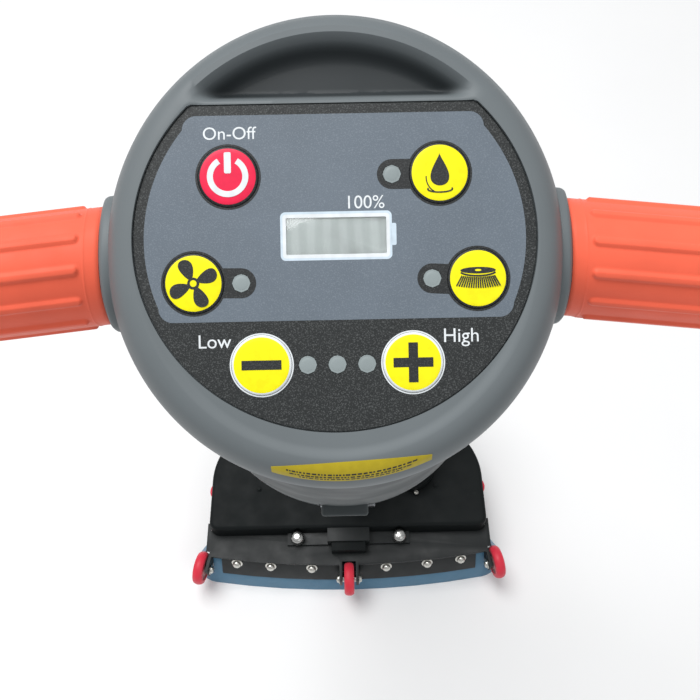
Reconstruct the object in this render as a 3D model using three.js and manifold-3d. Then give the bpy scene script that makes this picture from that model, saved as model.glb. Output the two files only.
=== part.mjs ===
// A compact walk-behind floor scrubber dryer: a round control head with two handlebar grips, a column that
// holds the clean-water tank, a two-way swivel, and a deck with two disc brushes, a recovery tank and a
// curved squeegee. Millimetres, +Z up. The machine stands on z = 0 and drives towards +Y, and the operator
// stands on the -Y side.
import * as THREE from "three";
import { mergeVertices } from "three/addons/utils/BufferGeometryUtils.js";
import Module from "manifold-3d";

const wasm = await Module();
wasm.setup();

// ---------------------------------------------------------------- driving dimensions
const DEG = Math.PI / 180;
const GAP = 0.3; // clearance between two pieces that touch

// The column leans back from a point in the swivel, and what is on it is placed by its height along it.
const COLUMN = { foot: 150, lean: 17 * DEG, bottom: 681, top: 833.5, mastRadius: 30, mastWall: 3 };
const ROLL_AXIS_Z = 130;
const TILT_AXIS_Z = 175;
const PIN_RADIUS = 8;

// The control head: u to the right, v up the panel, w out of it, from the centre of the panel's face.
const HEAD = { centre: [0, -277, 1032], tilt: 30 * DEG, radiusU: 80.8, radiusV: 83.5, seam: -35, base: -52 };
const SHELL_WALL = 3;
const PANEL = { radiusU: 64, radiusV: 61, chord: 43, thick: 0.8, keyRadius: 9.6, lensRadius: 2.9 };
const KEYS = {
  key_power: [-33.5, 20.3],
  key_water: [33.5, 20.3],
  key_fan: [-45, -13.3],
  key_brush: [45, -13.3],
  key_minus: [-24, -39.5],
  key_plus: [24, -39.5],
};
const LENSES = [[18.4, 20.3], [-30, -13.4], [30.6, -13], [-9.4, -39.7], [0, -39.7], [9.4, -39.7]];
const WINDOW = { centre: [0.4, 1.1], width: 33, height: 12.4 };
const GRIP = { v: -3, w: -33, root: 80, end: 211.8, radius: 21 };
const GRIP_RISE = 6 * DEG;
const GRIP_SWEEP = 6.8 * DEG;
const HANDLEBAR_RADIUS = 12.7;

// The deck is drawn round the two brush centres.
const BRUSH = { x: 109, y: -8, radius: 98, block: 86, top: 34, motor: 42 };
const DECK = { radius: 105, rear: -89, corner: 15, draft: 4, bottom: 28, top: 95, wall: 4, rearGap: 42 };
const ROLLER = { x: 203, y: -19, radius: 16, bottom: 49.5, top: 74.5 };

// The squeegee: a long arc that curls forward at its ends, with every layer raked back towards the floor.
const BLADE = { arc: 1368, rear: -137, line: 62, rake: 23 * DEG, half: 208 };
const CURL = { radius: 14, to: 85 * DEG, tail: 10 };
const STRAP = { half: 196, low: 28, high: 61, thick: 2.5 };
const WHEEL = { radius: 25, half: 7.5, z: 50, bore: 5.3, rear: -155, endX: 228, endY: -134, yaw: 11 * DEG };
const SQUEEGEE = { plate: 219, top: 68, front: 28, frontHalf: 192 };
const KNOB = { x: 78, y: -99, stem: 4, room: 12.5 };

const BATTERY = { half: 125, rear: 44, front: 104, top: 158 };
const TANK = { half: 128, rear: 44, front: 126, top: 335, lid: 14 };
const FILLER = { height: 790, reach: 102, radius: 24, bore: 19 };

// The suction duct runs from the squeegee through the deck's rear wall, between the motors and up through the
// roof, and the hose goes on from there, low past the swivel and up into the back of the recovery tank.
const DUCT = { half: 26, bottom: SQUEEGEE.top + GAP, top: 86, outlet: [-56, -34], riser: 8 };
const HOSE = { x: -100, z: 196, radius: 11, bore: 8 };
const HOSE_ROUTE = [
  [...DUCT.outlet, DECK.top + 1.6],
  [...DUCT.outlet, DECK.top + 10],
  [-64, -26, 119],
  [-76, -14, 128],
  [-89, -5, 138],
  [-97, 1, 154],
  [HOSE.x, 4, 174],
  [HOSE.x, 14, 190],
  [HOSE.x, 30, HOSE.z],
  [HOSE.x, TANK.rear - GAP, HOSE.z],
];

// ---------------------------------------------------------------- materials
const paint = (color, roughness, metalness = 0) =>
  new THREE.MeshStandardMaterial({ color, roughness, metalness });
const grey = paint(0x5f6569, 0.6);
const black = paint(0x24282a, 0.6);
const darkPanel = paint(0x3a4040, 0.7);
const coral = paint(0xf26a4c, 0.65);
const steel = paint(0xc4c7c6, 0.3, 0.9);
const blue = paint(0x3f75a3, 0.5);
const red = paint(0xd83a48, 0.5);
const yellow = paint(0xf2e52c, 0.5);
const clear = paint(0xbdc6c5, 0.2);
const green = paint(0x2d6b45, 0.6);
const castMetal = paint(0x7d8184, 0.5, 0.6);
const nylon = paint(0x1b1c1e, 0.8);

// ---------------------------------------------------------------- solids
// A closed geometry as a solid that can be joined and cut, with its faces turned outwards.
function solid(geometry) {
  const bare = geometry.clone();
  for (const name of ["normal", "uv"]) bare.deleteAttribute(name);
  const merged = mergeVertices(bare, 1e-4);
  const corners = merged.index.array;
  const triangles = [];
  for (let i = 0; i < corners.length; i += 3) {
    const [a, b, c] = [corners[i], corners[i + 1], corners[i + 2]];
    if (a !== b && b !== c && c !== a) triangles.push([a, b, c]);
  }
  const places = merged.attributes.position.array;
  const corner = (i) => new THREE.Vector3(places[3 * i], places[3 * i + 1], places[3 * i + 2]);
  let volume = 0;
  for (const [a, b, c] of triangles) volume += corner(a).dot(corner(b).cross(corner(c)));
  const outward = volume < 0 ? triangles.map(([a, b, c]) => [a, c, b]) : triangles;
  const triVerts = Uint32Array.from(outward.flat());
  return new wasm.Manifold(new wasm.Mesh({ numProp: 3, vertProperties: places, triVerts }));
}

function geometryOf(shape) {
  const { vertProperties, triVerts } = shape.getMesh();
  const geometry = new THREE.BufferGeometry();
  geometry.setAttribute("position", new THREE.BufferAttribute(vertProperties, 3));
  geometry.setIndex(new THREE.BufferAttribute(triVerts, 1));
  geometry.computeVertexNormals();
  return geometry;
}

const join = (first, ...rest) => rest.reduce((whole, next) => whole.add(next), first);
const cut = (first, ...rest) => rest.reduce((whole, next) => whole.subtract(next), first);

const box = (x, y, z) =>
  solid(
    new THREE.BoxGeometry(x[1] - x[0], y[1] - y[0], z[1] - z[0]).translate(
      (x[0] + x[1]) / 2,
      (y[0] + y[1]) / 2,
      (z[0] + z[1]) / 2,
    ),
  );

// Round bars along each axis, given by their ends.
const rodZ = (radius, from, to, [x, y] = [0, 0], sides = 20) =>
  solid(
    new THREE.CylinderGeometry(radius, radius, to - from, sides)
      .rotateX(90 * DEG)
      .translate(x, y, (from + to) / 2),
  );
const rodX = (radius, from, to, [y, z] = [0, 0], sides = 20) =>
  solid(
    new THREE.CylinderGeometry(radius, radius, to - from, sides)
      .rotateZ(90 * DEG)
      .translate((from + to) / 2, y, z),
  );
const rodY = (radius, from, to, [x, z] = [0, 0], sides = 20) =>
  solid(new THREE.CylinderGeometry(radius, radius, to - from, sides).translate(x, (from + to) / 2, z));

// A profile of [radius, height] points turned about Z.
const turned = (profile, sides = 20) =>
  solid(
    new THREE.LatheGeometry(
      profile.map(([r, z]) => new THREE.Vector2(r, z)),
      sides,
    ).rotateX(90 * DEG),
  );

// A flat outline of [x, y] points raised from one height to another.
const slab = (outline, from, to) =>
  solid(
    new THREE.ExtrudeGeometry(new THREE.Shape(outline.map(([x, y]) => new THREE.Vector2(x, y))), {
      depth: to - from,
      bevelEnabled: false,
    }).translate(0, 0, from),
  );

// Rings of points, one after another, skinned into one body. A loop joins the last ring to the first;
// otherwise the two end rings are closed with the triangles of the section that they share.
function loft(rings, { loop = false, section = null } = {}) {
  const count = rings[0].length;
  const faces = [];
  const last = loop ? rings.length : rings.length - 1;
  for (let r = 0; r < last; r += 1) {
    const here = r * count;
    const next = ((r + 1) % rings.length) * count;
    for (let i = 0; i < count; i += 1) {
      const j = (i + 1) % count;
      faces.push([here + i, here + j, next + j], [here + i, next + j, next + i]);
    }
  }
  if (!loop) {
    const flat = (section ?? rings[0]).map(([x, y]) => new THREE.Vector2(x, y));
    const clockwise = THREE.ShapeUtils.area(flat) < 0;
    const end = (rings.length - 1) * count;
    for (const triangle of THREE.ShapeUtils.triangulateShape(flat, [])) {
      const [a, b, c] = clockwise ? [...triangle].reverse() : triangle;
      faces.push([a, c, b], [end + a, end + b, end + c]);
    }
  }
  const geometry = new THREE.BufferGeometry();
  geometry.setAttribute("position", new THREE.Float32BufferAttribute(rings.flat(2), 3));
  geometry.setIndex(faces.flat());
  return solid(geometry);
}

// A round bar, or a pipe when it has a bore, along a smooth curve.
function pipe(points, radius, bore = 0, steps = 24, sides = 12) {
  const section = new THREE.Shape().absarc(0, 0, radius, 0, 2 * Math.PI);
  if (bore > 0) section.holes.push(new THREE.Path().absarc(0, 0, bore, 0, 2 * Math.PI, true));
  const extrudePath = new THREE.CatmullRomCurve3(points.map((p) => new THREE.Vector3(...p)));
  return solid(new THREE.ExtrudeGeometry(section, { steps, curveSegments: sides / 2, extrudePath }));
}

const ellipse = (a, b, count = 32) =>
  Array.from({ length: count }, (_, i) => {
    const angle = (2 * Math.PI * i) / count;
    return [a * Math.cos(angle), b * Math.sin(angle)];
  });

// ---------------------------------------------------------------- the machine's groups
const machine = new THREE.Group();
const deck = new THREE.Group();
const column = new THREE.Group();
column.position.set(0, 0, COLUMN.foot);
column.rotation.x = COLUMN.lean;
const head = new THREE.Group();
head.position.set(...HEAD.centre);
head.rotation.x = HEAD.tilt;
machine.add(deck, column, head);

function piece(parent, name, shape, material) {
  const mesh = new THREE.Mesh(geometryOf(shape), material);
  mesh.name = name;
  parent.add(mesh);
  return mesh;
}

// ---------------------------------------------------------------- control head
const HEAD_LOWER_SHAPE = [
  [79.5, HEAD.base],
  [82.2, -45],
  [83.4, HEAD.seam],
];
const HEAD_UPPER_SHAPE = [
  [83.4, HEAD.seam],
  [83.2, -29],
  [80.8, -19],
  [77.6, -9.5],
  [74.6, -3.4],
  [71, -0.2],
  [67, 0.9],
];
const headWidth = HEAD.radiusU / HEAD.radiusV;

// The rim leans towards the operator: the higher a ring of it, the further it is shifted down the panel.
const rimShift = (w) => -3 * THREE.MathUtils.smoothstep(w, -29, -8);
const headRing = (radius, w) =>
  ellipse(radius * headWidth, radius, 40).map(([u, v]) => [u, v + rimShift(w), w]);

// The outside of the head's upper half as a solid, grown all round by a small amount.
const headForm = (grow = 0) => loft(HEAD_UPPER_SHAPE.map(([radius, w]) => headRing(radius + grow, w)));

// The ellipse of the panel on one side of its straight upper edge.
function panelOutline(grow, above) {
  const a = PANEL.radiusU + grow;
  const b = PANEL.radiusV + grow;
  const edge = above ? PANEL.chord + 1.2 - grow : PANEL.chord + grow;
  const start = Math.asin(edge / b);
  const span = above ? Math.PI - 2 * start : Math.PI + 2 * start;
  const from = above ? start : Math.PI - start;
  const count = above ? 12 : 30;
  return Array.from({ length: count + 1 }, (_, i) => {
    const angle = from + (span * i) / count;
    return [a * Math.cos(angle), b * Math.sin(angle)];
  });
}

const holesAt = (places, radius, from, to, sides) =>
  places.map((place) => rodZ(radius, from, to, place, sides));
const keyHoles = (radius, from, to) => holesAt(Object.values(KEYS), radius, from, to, 16);
const lensHoles = (radius, from, to) => holesAt(LENSES, radius, from, to, 8);
function windowBlock(grow, from, to) {
  const [u, v] = WINDOW.centre;
  const a = WINDOW.width / 2 + grow;
  const b = WINDOW.height / 2 + grow;
  return box([u - a, u + a], [v - b, v + b], [from, to]);
}

const barRoom = HANDLEBAR_RADIUS + 0.6;
const barHole = () => rodX(barRoom, -120, 120, [GRIP.v, GRIP.w], 16);
const plateTop = -PANEL.thick - GAP;
const plateBottom = plateTop - 2.4;
const SCOOP_FLOOR = -8.4;

function headUpperShell() {
  const wall = HEAD_UPPER_SHAPE.slice(0, 5).map(([r, w]) => [r - SHELL_WALL, Math.min(w - 1, plateBottom)]);
  const below = HEAD.seam - 2;
  const cavity = loft([[wall[0][0], below], ...wall, [60, plateBottom]].map(([r, w]) => headRing(r, w)));
  const scoopWalls = slab(panelOutline(2.6, true), SCOOP_FLOOR - 2.6, 0);
  return cut(
    join(cut(headForm(), cavity), scoopWalls),
    slab(panelOutline(GAP, true), SCOOP_FLOOR, 4),
    slab(panelOutline(GAP, false), plateTop, 4),
    ...keyHoles(PANEL.keyRadius + 0.5, -6, 2),
    ...lensHoles(PANEL.lensRadius + 0.4, -6, 2),
    windowBlock(-0.8, -6, 2),
    barHole(),
  );
}

// The turn from one group's frame to another's.
function between(from, to) {
  for (const group of [from, to]) group.updateMatrix();
  return new THREE.Matrix4().copy(to.matrix).invert().multiply(from.matrix);
}

// The lower shell follows the head's shape down to its base, then turns from the head's own tilt to the
// column's and meets the tank's top. Its rings are in the column's frame, taken in for the inside.
function lowerRings(inset) {
  const toColumn = between(head, column);
  const ringBelow = (radius, w) =>
    ellipse((radius - inset) * headWidth, radius - inset).map(([u, v]) =>
      new THREE.Vector3(u, v, w).applyMatrix4(toColumn).toArray(),
    );
  const upper = HEAD_LOWER_SHAPE.map(([r, w]) => ringBelow(r, Math.min(w, HEAD.seam - GAP))).reverse();
  const neckRadius = HEAD_LOWER_SHAPE[0][0] - inset;
  const neck = ellipse(neckRadius, neckRadius).map(([x, y]) => [x, y, COLUMN.top + GAP]);
  const base = upper[upper.length - 1];
  const halfway = base.map((point, i) => point.map((value, k) => (value + neck[i][k]) / 2));
  return [...upper, halfway, neck];
}

function headLowerShell() {
  const walls = loft([...lowerRings(0), ...lowerRings(SHELL_WALL).reverse()], { loop: true });
  return cut(walls, barHole().transform(between(head, column).elements));
}

// The head's lower half as a solid in the head's own frame, grown outwards.
const lowerForm = (grow) => loft(lowerRings(-grow)).transform(between(column, head).elements);

// The whole head as one solid, grown outwards.
function wholeForm(grow) {
  const seamRadius = HEAD_UPPER_SHAPE[0][0] + grow;
  const seamBand = loft([headRing(seamRadius, HEAD.seam - 1), headRing(seamRadius, HEAD.seam + 1)]);
  return join(headForm(grow), lowerForm(grow), seamBand);
}

function panelOverlay() {
  return cut(
    slab(panelOutline(0, false), -PANEL.thick, 0),
    ...keyHoles(PANEL.keyRadius + 0.35, -2, 2),
    ...lensHoles(PANEL.lensRadius + 0.3, -2, 2),
    windowBlock(0.3, -2, 2),
  );
}

// A key is a short plunger: a domed cap above the panel and a stem down to its switch on the board.
const key = () =>
  turned(
    [
      [0, -4],
      [9, -4],
      [PANEL.keyRadius, -3.4],
      [PANEL.keyRadius, 0.4],
      [8.8, 0.9],
      [0, 1.2],
    ],
    18,
  );

// Flat ribs under the shell carry the light to a post at each lens.
function lightGuide() {
  const height = [-7.4, -6.4];
  const ribs = [
    box([-46, 46], [-5.6, -5.2], height),
    box([-4, 4], [-41, -5.3], height),
    box([-11, 11], [-42, -37.4], height),
    box([-31.5, -28.5], [-15, -5.3], height),
    box([29.1, 32.1], [-15, -5.3], height),
    box([17, 24.5], [-5.6, 22], height),
  ];
  return join(...ribs, ...holesAt(LENSES, PANEL.lensRadius, height[0], 0.15, 8));
}

piece(head, "head_upper_shell", headUpperShell(), grey);
piece(column, "head_lower_shell", headLowerShell(), grey);
piece(head, "panel_overlay", panelOverlay(), darkPanel);
piece(head, "display_window", windowBlock(0, -PANEL.thick, -0.05), clear);
piece(head, "display_module", windowBlock(1.2, -6.2, plateBottom - GAP), green);
piece(head, "circuit_board", slab(ellipse(56, 40), -9.6, -8), green);
piece(head, "light_guide", lightGuide(), clear);
for (const [name, [u, v]] of Object.entries(KEYS)) {
  piece(head, name, key(), name === "key_power" ? red : yellow).position.set(u, v, 0);
}

// ---------------------------------------------------------------- handlebar
// The way out along a grip, for the right side (1) and the left side (-1).
function gripWay(side) {
  const flat = Math.cos(GRIP_RISE);
  return new THREE.Vector3(
    side * flat * Math.cos(GRIP_SWEEP),
    -flat * Math.sin(GRIP_SWEEP),
    Math.sin(GRIP_RISE),
  );
}

const gripPoint = (side, distance) =>
  new THREE.Vector3(side * GRIP.root, GRIP.v, GRIP.w).addScaledVector(gripWay(side), distance);

function handlebarTube() {
  const half = (side) => [3, 20, 45, 80, 110].map((distance) => gripPoint(side, distance).toArray());
  const middle = [-66, -30, 0, 30, 66].map((u) => [u, GRIP.v, GRIP.w]);
  return pipe([...half(-1).reverse(), ...middle, ...half(1)], HANDLEBAR_RADIUS, 0, 18, 12);
}

// Turned pieces on a grip are drawn along Z and laid along the grip.
function alongGrip(shape, side) {
  const turn = new THREE.Quaternion().setFromUnitVectors(new THREE.Vector3(0, 0, 1), gripWay(side));
  const place = new THREE.Matrix4().compose(gripPoint(side, 0), turn, new THREE.Vector3(1, 1, 1));
  return shape.transform(place.elements);
}

// The collar is a pad that follows the head's side, and the grip's inner end follows the collar.
const COLLAR = { radius: 24.3, thick: 3 };

function collar(side) {
  const ring = turned([
    [barRoom, -14],
    [COLLAR.radius, -14],
    [COLLAR.radius, 10],
    [barRoom, 10],
    [barRoom, -14],
  ]);
  return cut(alongGrip(ring, side).intersect(wholeForm(COLLAR.thick)), wholeForm(GAP));
}

function grip(side) {
  const start = -12;
  const end = GRIP.end - GRIP.root;
  const sleeve = turned([
    [barRoom, start],
    [GRIP.radius, start],
    [GRIP.radius + 0.8, end - 12],
    [GRIP.radius - 1, end - 3],
    [GRIP.radius - 6, end],
    [0, end + 0.6],
    [0, end - 12],
    [barRoom, end - 12],
    [barRoom, start],
  ]);
  return cut(alongGrip(sleeve, side), wholeForm(COLLAR.thick + GAP));
}

piece(head, "handlebar_tube", handlebarTube(), steel);
for (const [name, side] of [["left", -1], ["right", 1]]) {
  piece(head, `collar_${name}`, collar(side), grey);
  piece(head, `grip_${name}`, grip(side), coral);
}

// ---------------------------------------------------------------- column
const TANK_SHAPE = [
  [85.4, COLUMN.bottom],
  [84.6, 700],
  [82.6, 745],
  [80.6, 795],
  [79.5, COLUMN.top],
];

// The filler neck and the things on it lie level, so they are turned back against the column's lean.
function level(shape, height) {
  return shape.rotate([-COLUMN.lean / DEG, 0, 0]).translate([0, 0, height]);
}

function solutionTank() {
  const outside = turned([[0, COLUMN.bottom], ...TANK_SHAPE, [0, COLUMN.top]], 32);
  const [floor, roof] = [COLUMN.bottom + SHELL_WALL, COLUMN.top - SHELL_WALL];
  const inner = TANK_SHAPE.map(([r, s]) => [r - SHELL_WALL, THREE.MathUtils.clamp(s, floor, roof)]);
  const cavity = turned([[0, floor], ...inner, [0, roof]], 24);
  const neck = level(rodY(FILLER.radius, 60, FILLER.reach), FILLER.height);
  const hole = level(rodY(FILLER.bore, 40, FILLER.reach + 4), FILLER.height);
  const latchSlot = box([-15.6, 15.6], [-90, -76.5], [COLUMN.bottom - 1, COLUMN.bottom + 11]);
  const latchWall = box([-18, 18], [-79, -73], [COLUMN.bottom, COLUMN.bottom + 14]);
  const wholeTank = join(cut(join(outside, neck), cavity), latchWall);
  return cut(wholeTank, hole, latchSlot);
}

// A flip cap: a disc on the neck, a knuckle above it to turn on, and a thumb lip below.
function fillerCap() {
  const { radius, reach } = FILLER;
  const lid = rodY(radius + 1, reach + GAP, reach + 6);
  const knuckle = rodX(3.5, -9, 9, [reach + 3.8, radius + 3.5], 16);
  const web = box([-9, 9], [reach + GAP, reach + 6], [radius - 3, radius + 3]);
  const lip = box([-9, 9], [reach + 1, reach + 11], [-radius - 3, -radius + 5]);
  return level(join(lid, knuckle, web, lip), FILLER.height);
}

function tankBase() {
  const socket = COLUMN.mastRadius + 0.4;
  const floor = COLUMN.bottom - GAP;
  return turned(
    [
      [0, floor - 8.5],
      [socket, floor - 8.5],
      [socket, floor - 45],
      [36, floor - 45],
      [38, floor - 41],
      [38, floor - 18],
      [58, floor - 13],
      [83, floor - 9],
      [85.4, floor - 5],
      [85.4, floor],
      [0, floor],
    ],
    36,
  );
}

function tankLatch() {
  const plate = box([-14.5, 14.5], [-90.5, -83], [COLUMN.bottom + 1, COLUMN.bottom + 10]);
  const stem = box([-8, 8], [-84, -82], [COLUMN.bottom + 1, COLUMN.bottom + 10]);
  return join(plate, stem);
}

function mastTube() {
  const r = COLUMN.mastRadius;
  const top = COLUMN.bottom - 10;
  return turned(
    [
      [r - COLUMN.mastWall, 92],
      [r, 92],
      [r, top],
      [r - COLUMN.mastWall, top],
      [r - COLUMN.mastWall, 92],
    ],
    24,
  );
}

// The tilt axis lies on the column's centre line, this far up it from the column's foot.
const tiltHeight = (TILT_AXIS_Z - COLUMN.foot) / Math.cos(COLUMN.lean);
const tiltY = -tiltHeight * Math.sin(COLUMN.lean);

function mastFork() {
  const sleeve = rodZ(37, 78, 150);
  const cheeks = [-1, 1].map((side) => {
    const x = [side * 29 - 5, side * 29 + 5];
    return join(box(x, [-20, 20], [tiltHeight, 86]), rodX(20, ...x, [0, tiltHeight]));
  });
  return cut(
    join(sleeve, ...cheeks),
    rodZ(COLUMN.mastRadius + 0.4, 90, 160),
    rodX(PIN_RADIUS + GAP, -60, 60, [0, tiltHeight], 16),
  );
}

piece(column, "solution_tank", solutionTank(), grey);
piece(column, "filler_cap", fillerCap(), blue);
piece(column, "tank_base", tankBase(), grey);
piece(column, "tank_latch", tankLatch(), grey);
piece(column, "mast_tube", mastTube(), black);
piece(column, "mast_fork", mastFork(), castMetal);

// ---------------------------------------------------------------- swivel
function swivelBlock() {
  const body = join(
    rodY(20, -35, 35, [0, ROLL_AXIS_Z]),
    rodX(20, -23.4, 23.4, [tiltY, TILT_AXIS_Z]),
    box([-17, 17], [tiltY - 18, tiltY + 18], [ROLL_AXIS_Z, TILT_AXIS_Z]),
  );
  return cut(
    body,
    rodY(PIN_RADIUS + GAP, -60, 60, [0, ROLL_AXIS_Z], 16),
    rodX(PIN_RADIUS + GAP, -60, 60, [tiltY, TILT_AXIS_Z], 16),
  );
}

function pivotBracket() {
  const ear = (y) => join(box([-22, 22], y, [DECK.top + 3, ROLL_AXIS_Z]), rodY(22, ...y, [0, ROLL_AXIS_Z]));
  const plate = box([-42, 42], [-58, 41.6], [DECK.top + GAP, DECK.top + 6]);
  const pinHole = rodY(PIN_RADIUS + GAP, -60, 60, [0, ROLL_AXIS_Z], 16);
  return cut(join(plate, ear([-47, -37]), ear([37, 41.6])), pinHole);
}

piece(deck, "swivel_block", swivelBlock(), castMetal);
piece(deck, "tilt_pin", rodX(PIN_RADIUS, -38, 38, [tiltY, TILT_AXIS_Z], 16), steel);
piece(deck, "roll_pin", rodY(PIN_RADIUS, -51, 43, [0, ROLL_AXIS_Z], 16), steel);
piece(deck, "pivot_bracket", pivotBracket(), castMetal);

// ---------------------------------------------------------------- deck
// Round the front of each brush, straight back along the sides and across the rear, grown outwards.
function deckOutline(grow) {
  const radius = DECK.radius + grow;
  const corner = DECK.corner + grow;
  const cornerX = BRUSH.x + radius - corner;
  const cornerY = DECK.rear - grow + corner;
  const arc = (x, y, size, from, to, steps) =>
    Array.from({ length: steps + 1 }, (_, i) => {
      const angle = (from + ((to - from) * i) / steps) * DEG;
      return [x + size * Math.cos(angle), y + size * Math.sin(angle)];
    });
  const rearCorner = arc(cornerX, cornerY, corner, -90, 0, 4);
  const right = [...rearCorner, ...arc(BRUSH.x, BRUSH.y, radius, 0, 90, 12)];
  return [...right, ...right.map(([x, y]) => [-x, y]).reverse()];
}

const deckRing = (grow, z) => deckOutline(grow).map(([x, y]) => [x, y, z]);

function deckForm(grow) {
  return loft([
    deckRing(DECK.draft + grow, DECK.bottom - grow),
    deckRing(-1 + grow, DECK.top - 6),
    deckRing(-DECK.draft + grow, DECK.top + grow),
  ]);
}

function deckHousing() {
  const cavity = loft([
    deckRing(DECK.draft - DECK.wall, DECK.bottom - 5),
    deckRing(-DECK.draft - DECK.wall, DECK.top - 4),
  ]);
  const { radius, bottom, top } = ROLLER;
  const rollers = [-1, 1].map((side) => {
    const place = [side * ROLLER.x, ROLLER.y];
    const inner = [side * (ROLLER.x - 4), ROLLER.y];
    const lug = (from, to) => rodZ(radius + 1, from, to, inner).intersect(deckForm(0));
    const post = rodZ(4, bottom - 2, top + 2, place, 16);
    return {
      slot: rodZ(radius + 2.4, bottom - 1, top + 1, place),
      lugs: join(lug(bottom - 7, bottom - 0.8), lug(top + 0.8, top + 7), post),
    };
  });
  const rearWall = [-200, DECK.rear + 12];
  const rearReach = BRUSH.x + BRUSH.radius - 1;
  const gaps = [
    box([-rearReach, rearReach], rearWall, [0, DECK.rearGap]),
    box([-DUCT.half - 1, DUCT.half + 1], rearWall, [DUCT.bottom - 1, DUCT.top + 1]),
    rodZ(DUCT.riser + 1, 80, 100, DUCT.outlet, 16),
    ...[-1, 1].map((side) => rodZ(KNOB.room, SQUEEGEE.top, 200, [side * KNOB.x, KNOB.y], 16)),
  ];
  const shell = cut(cut(deckForm(0), cavity), ...gaps, ...rollers.map(({ slot }) => slot));
  return join(shell, ...rollers.map(({ lugs }) => lugs));
}

function brushMotor(side) {
  const [x, y] = [side * BRUSH.x, BRUSH.y];
  return turned([
    [0, 40.5],
    [7.5, 40.5],
    [7.5, 48.5],
    [BRUSH.motor - 4, 48.5],
    [BRUSH.motor, 52],
    [BRUSH.motor, 86],
    [BRUSH.motor - 3, 90.6],
    [0, 90.6],
  ]).translate([x, y, 0]);
}

const driveHub = () =>
  turned([
    [0, BRUSH.top + GAP],
    [34, BRUSH.top + GAP],
    [34, 42],
    [16, 47.5],
    [7.9, 47.5],
    [7.9, 39],
    [0, 39],
  ]);
const bristleTop = 26;
const brushBlock = () =>
  turned(
    [
      [0, bristleTop + GAP],
      [BRUSH.block, bristleTop + GAP],
      [BRUSH.block, 31],
      [BRUSH.block - 6, BRUSH.top],
      [0, BRUSH.top],
    ],
    32,
  );
const bristles = () =>
  turned([[38, bristleTop], [96, bristleTop], [BRUSH.radius, 0], [36, 0], [38, bristleTop]], 32);

function frontBumper() {
  const band = slab(deckOutline(DECK.draft + 6), 34, 62);
  const behind = box([-300, 300], [-200, 70], [0, 200]);
  return cut(band, behind, slab(deckOutline(DECK.draft + GAP), 20, 90));
}

function sideRoller(side) {
  const { bottom, top, radius } = ROLLER;
  return turned([
    [4.4, bottom],
    [radius - 2, bottom],
    [radius, bottom + 2],
    [radius, top - 2],
    [radius - 2, top],
    [4.4, top],
    [4.4, bottom],
  ]).translate([side * ROLLER.x, ROLLER.y, 0]);
}

piece(deck, "deck_housing", deckHousing(), black);
piece(deck, "front_bumper", frontBumper(), black);
for (const [name, side] of [["left", -1], ["right", 1]]) {
  const place = [side * BRUSH.x, BRUSH.y, 0];
  piece(deck, `brush_motor_${name}`, brushMotor(side), castMetal);
  piece(deck, `drive_hub_${name}`, driveHub(), black).position.set(...place);
  piece(deck, `brush_block_${name}`, brushBlock(), black).position.set(...place);
  piece(deck, `bristles_${name}`, bristles(), nylon).position.set(...place);
  piece(deck, `side_roller_${name}`, sideRoller(side), red);
}

// ---------------------------------------------------------------- battery, recovery tank and vacuum
// A rectangle with rounded corners, as [x, y] points.
function roundedRectangle(half, rear, front, corner, steps = 5) {
  const centres = [
    [half - corner, front - corner, 0],
    [-half + corner, front - corner, 90],
    [-half + corner, rear + corner, 180],
    [half - corner, rear + corner, 270],
  ];
  return centres.flatMap(([x, y, start]) =>
    Array.from({ length: steps + 1 }, (_, i) => {
      const angle = (start + (90 * i) / steps) * DEG;
      return [x + corner * Math.cos(angle), y + corner * Math.sin(angle)];
    }),
  );
}

const tankOutline = (inset) =>
  roundedRectangle(TANK.half - inset, TANK.rear + inset, TANK.front - inset, 20 - inset);

const batteryPack = () =>
  slab(roundedRectangle(BATTERY.half, BATTERY.rear, BATTERY.front, 10), DECK.top + GAP, BATTERY.top);

function recoveryTank() {
  const floor = BATTERY.top + GAP;
  const outside = slab(tankOutline(0), floor, TANK.top);
  const inside = slab(tankOutline(SHELL_WALL), floor + SHELL_WALL, TANK.top + 5);
  return cut(outside, inside, rodY(HOSE.bore, 30, 60, [HOSE.x, HOSE.z], 16));
}

function recoveryLid() {
  const z = TANK.top + GAP;
  const ring = (inset, height) => tankOutline(inset).map(([x, y]) => [x, y, z + height]);
  const plate = loft([ring(0, 0), ring(0, TANK.lid - 5), ring(5, TANK.lid)]);
  return join(plate, slab(roundedRectangle(34, 68, 102, 10), z + TANK.lid - 2, z + TANK.lid + 6));
}

function suctionDuct() {
  const height = [DUCT.bottom, DUCT.top];
  const [x, y] = DUCT.outlet;
  return join(
    box([-DUCT.half, DUCT.half], [-121, -70], height),
    box([x - 11, 0], [-80, -58], height),
    box([x - 11, x + 11], [-60, y + 11], height),
    rodZ(DUCT.riser, 80, DECK.top + 1, DUCT.outlet),
  );
}

const vacuumMotor = () =>
  turned([
    [0, DECK.top + GAP],
    [34, DECK.top + GAP],
    [36, DECK.top + 3],
    [36, 138],
    [31, 146],
    [0, 148],
  ]).translate([100, 2, 0]);

piece(deck, "battery_pack", batteryPack(), black);
piece(deck, "recovery_tank", recoveryTank(), black);
piece(deck, "recovery_lid", recoveryLid(), black);
piece(deck, "vacuum_motor", vacuumMotor(), black);
piece(deck, "suction_duct", suctionDuct(), black);
piece(deck, "suction_hose", pipe(HOSE_ROUTE, HOSE.radius, HOSE.bore, 22, 8), black);

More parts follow.
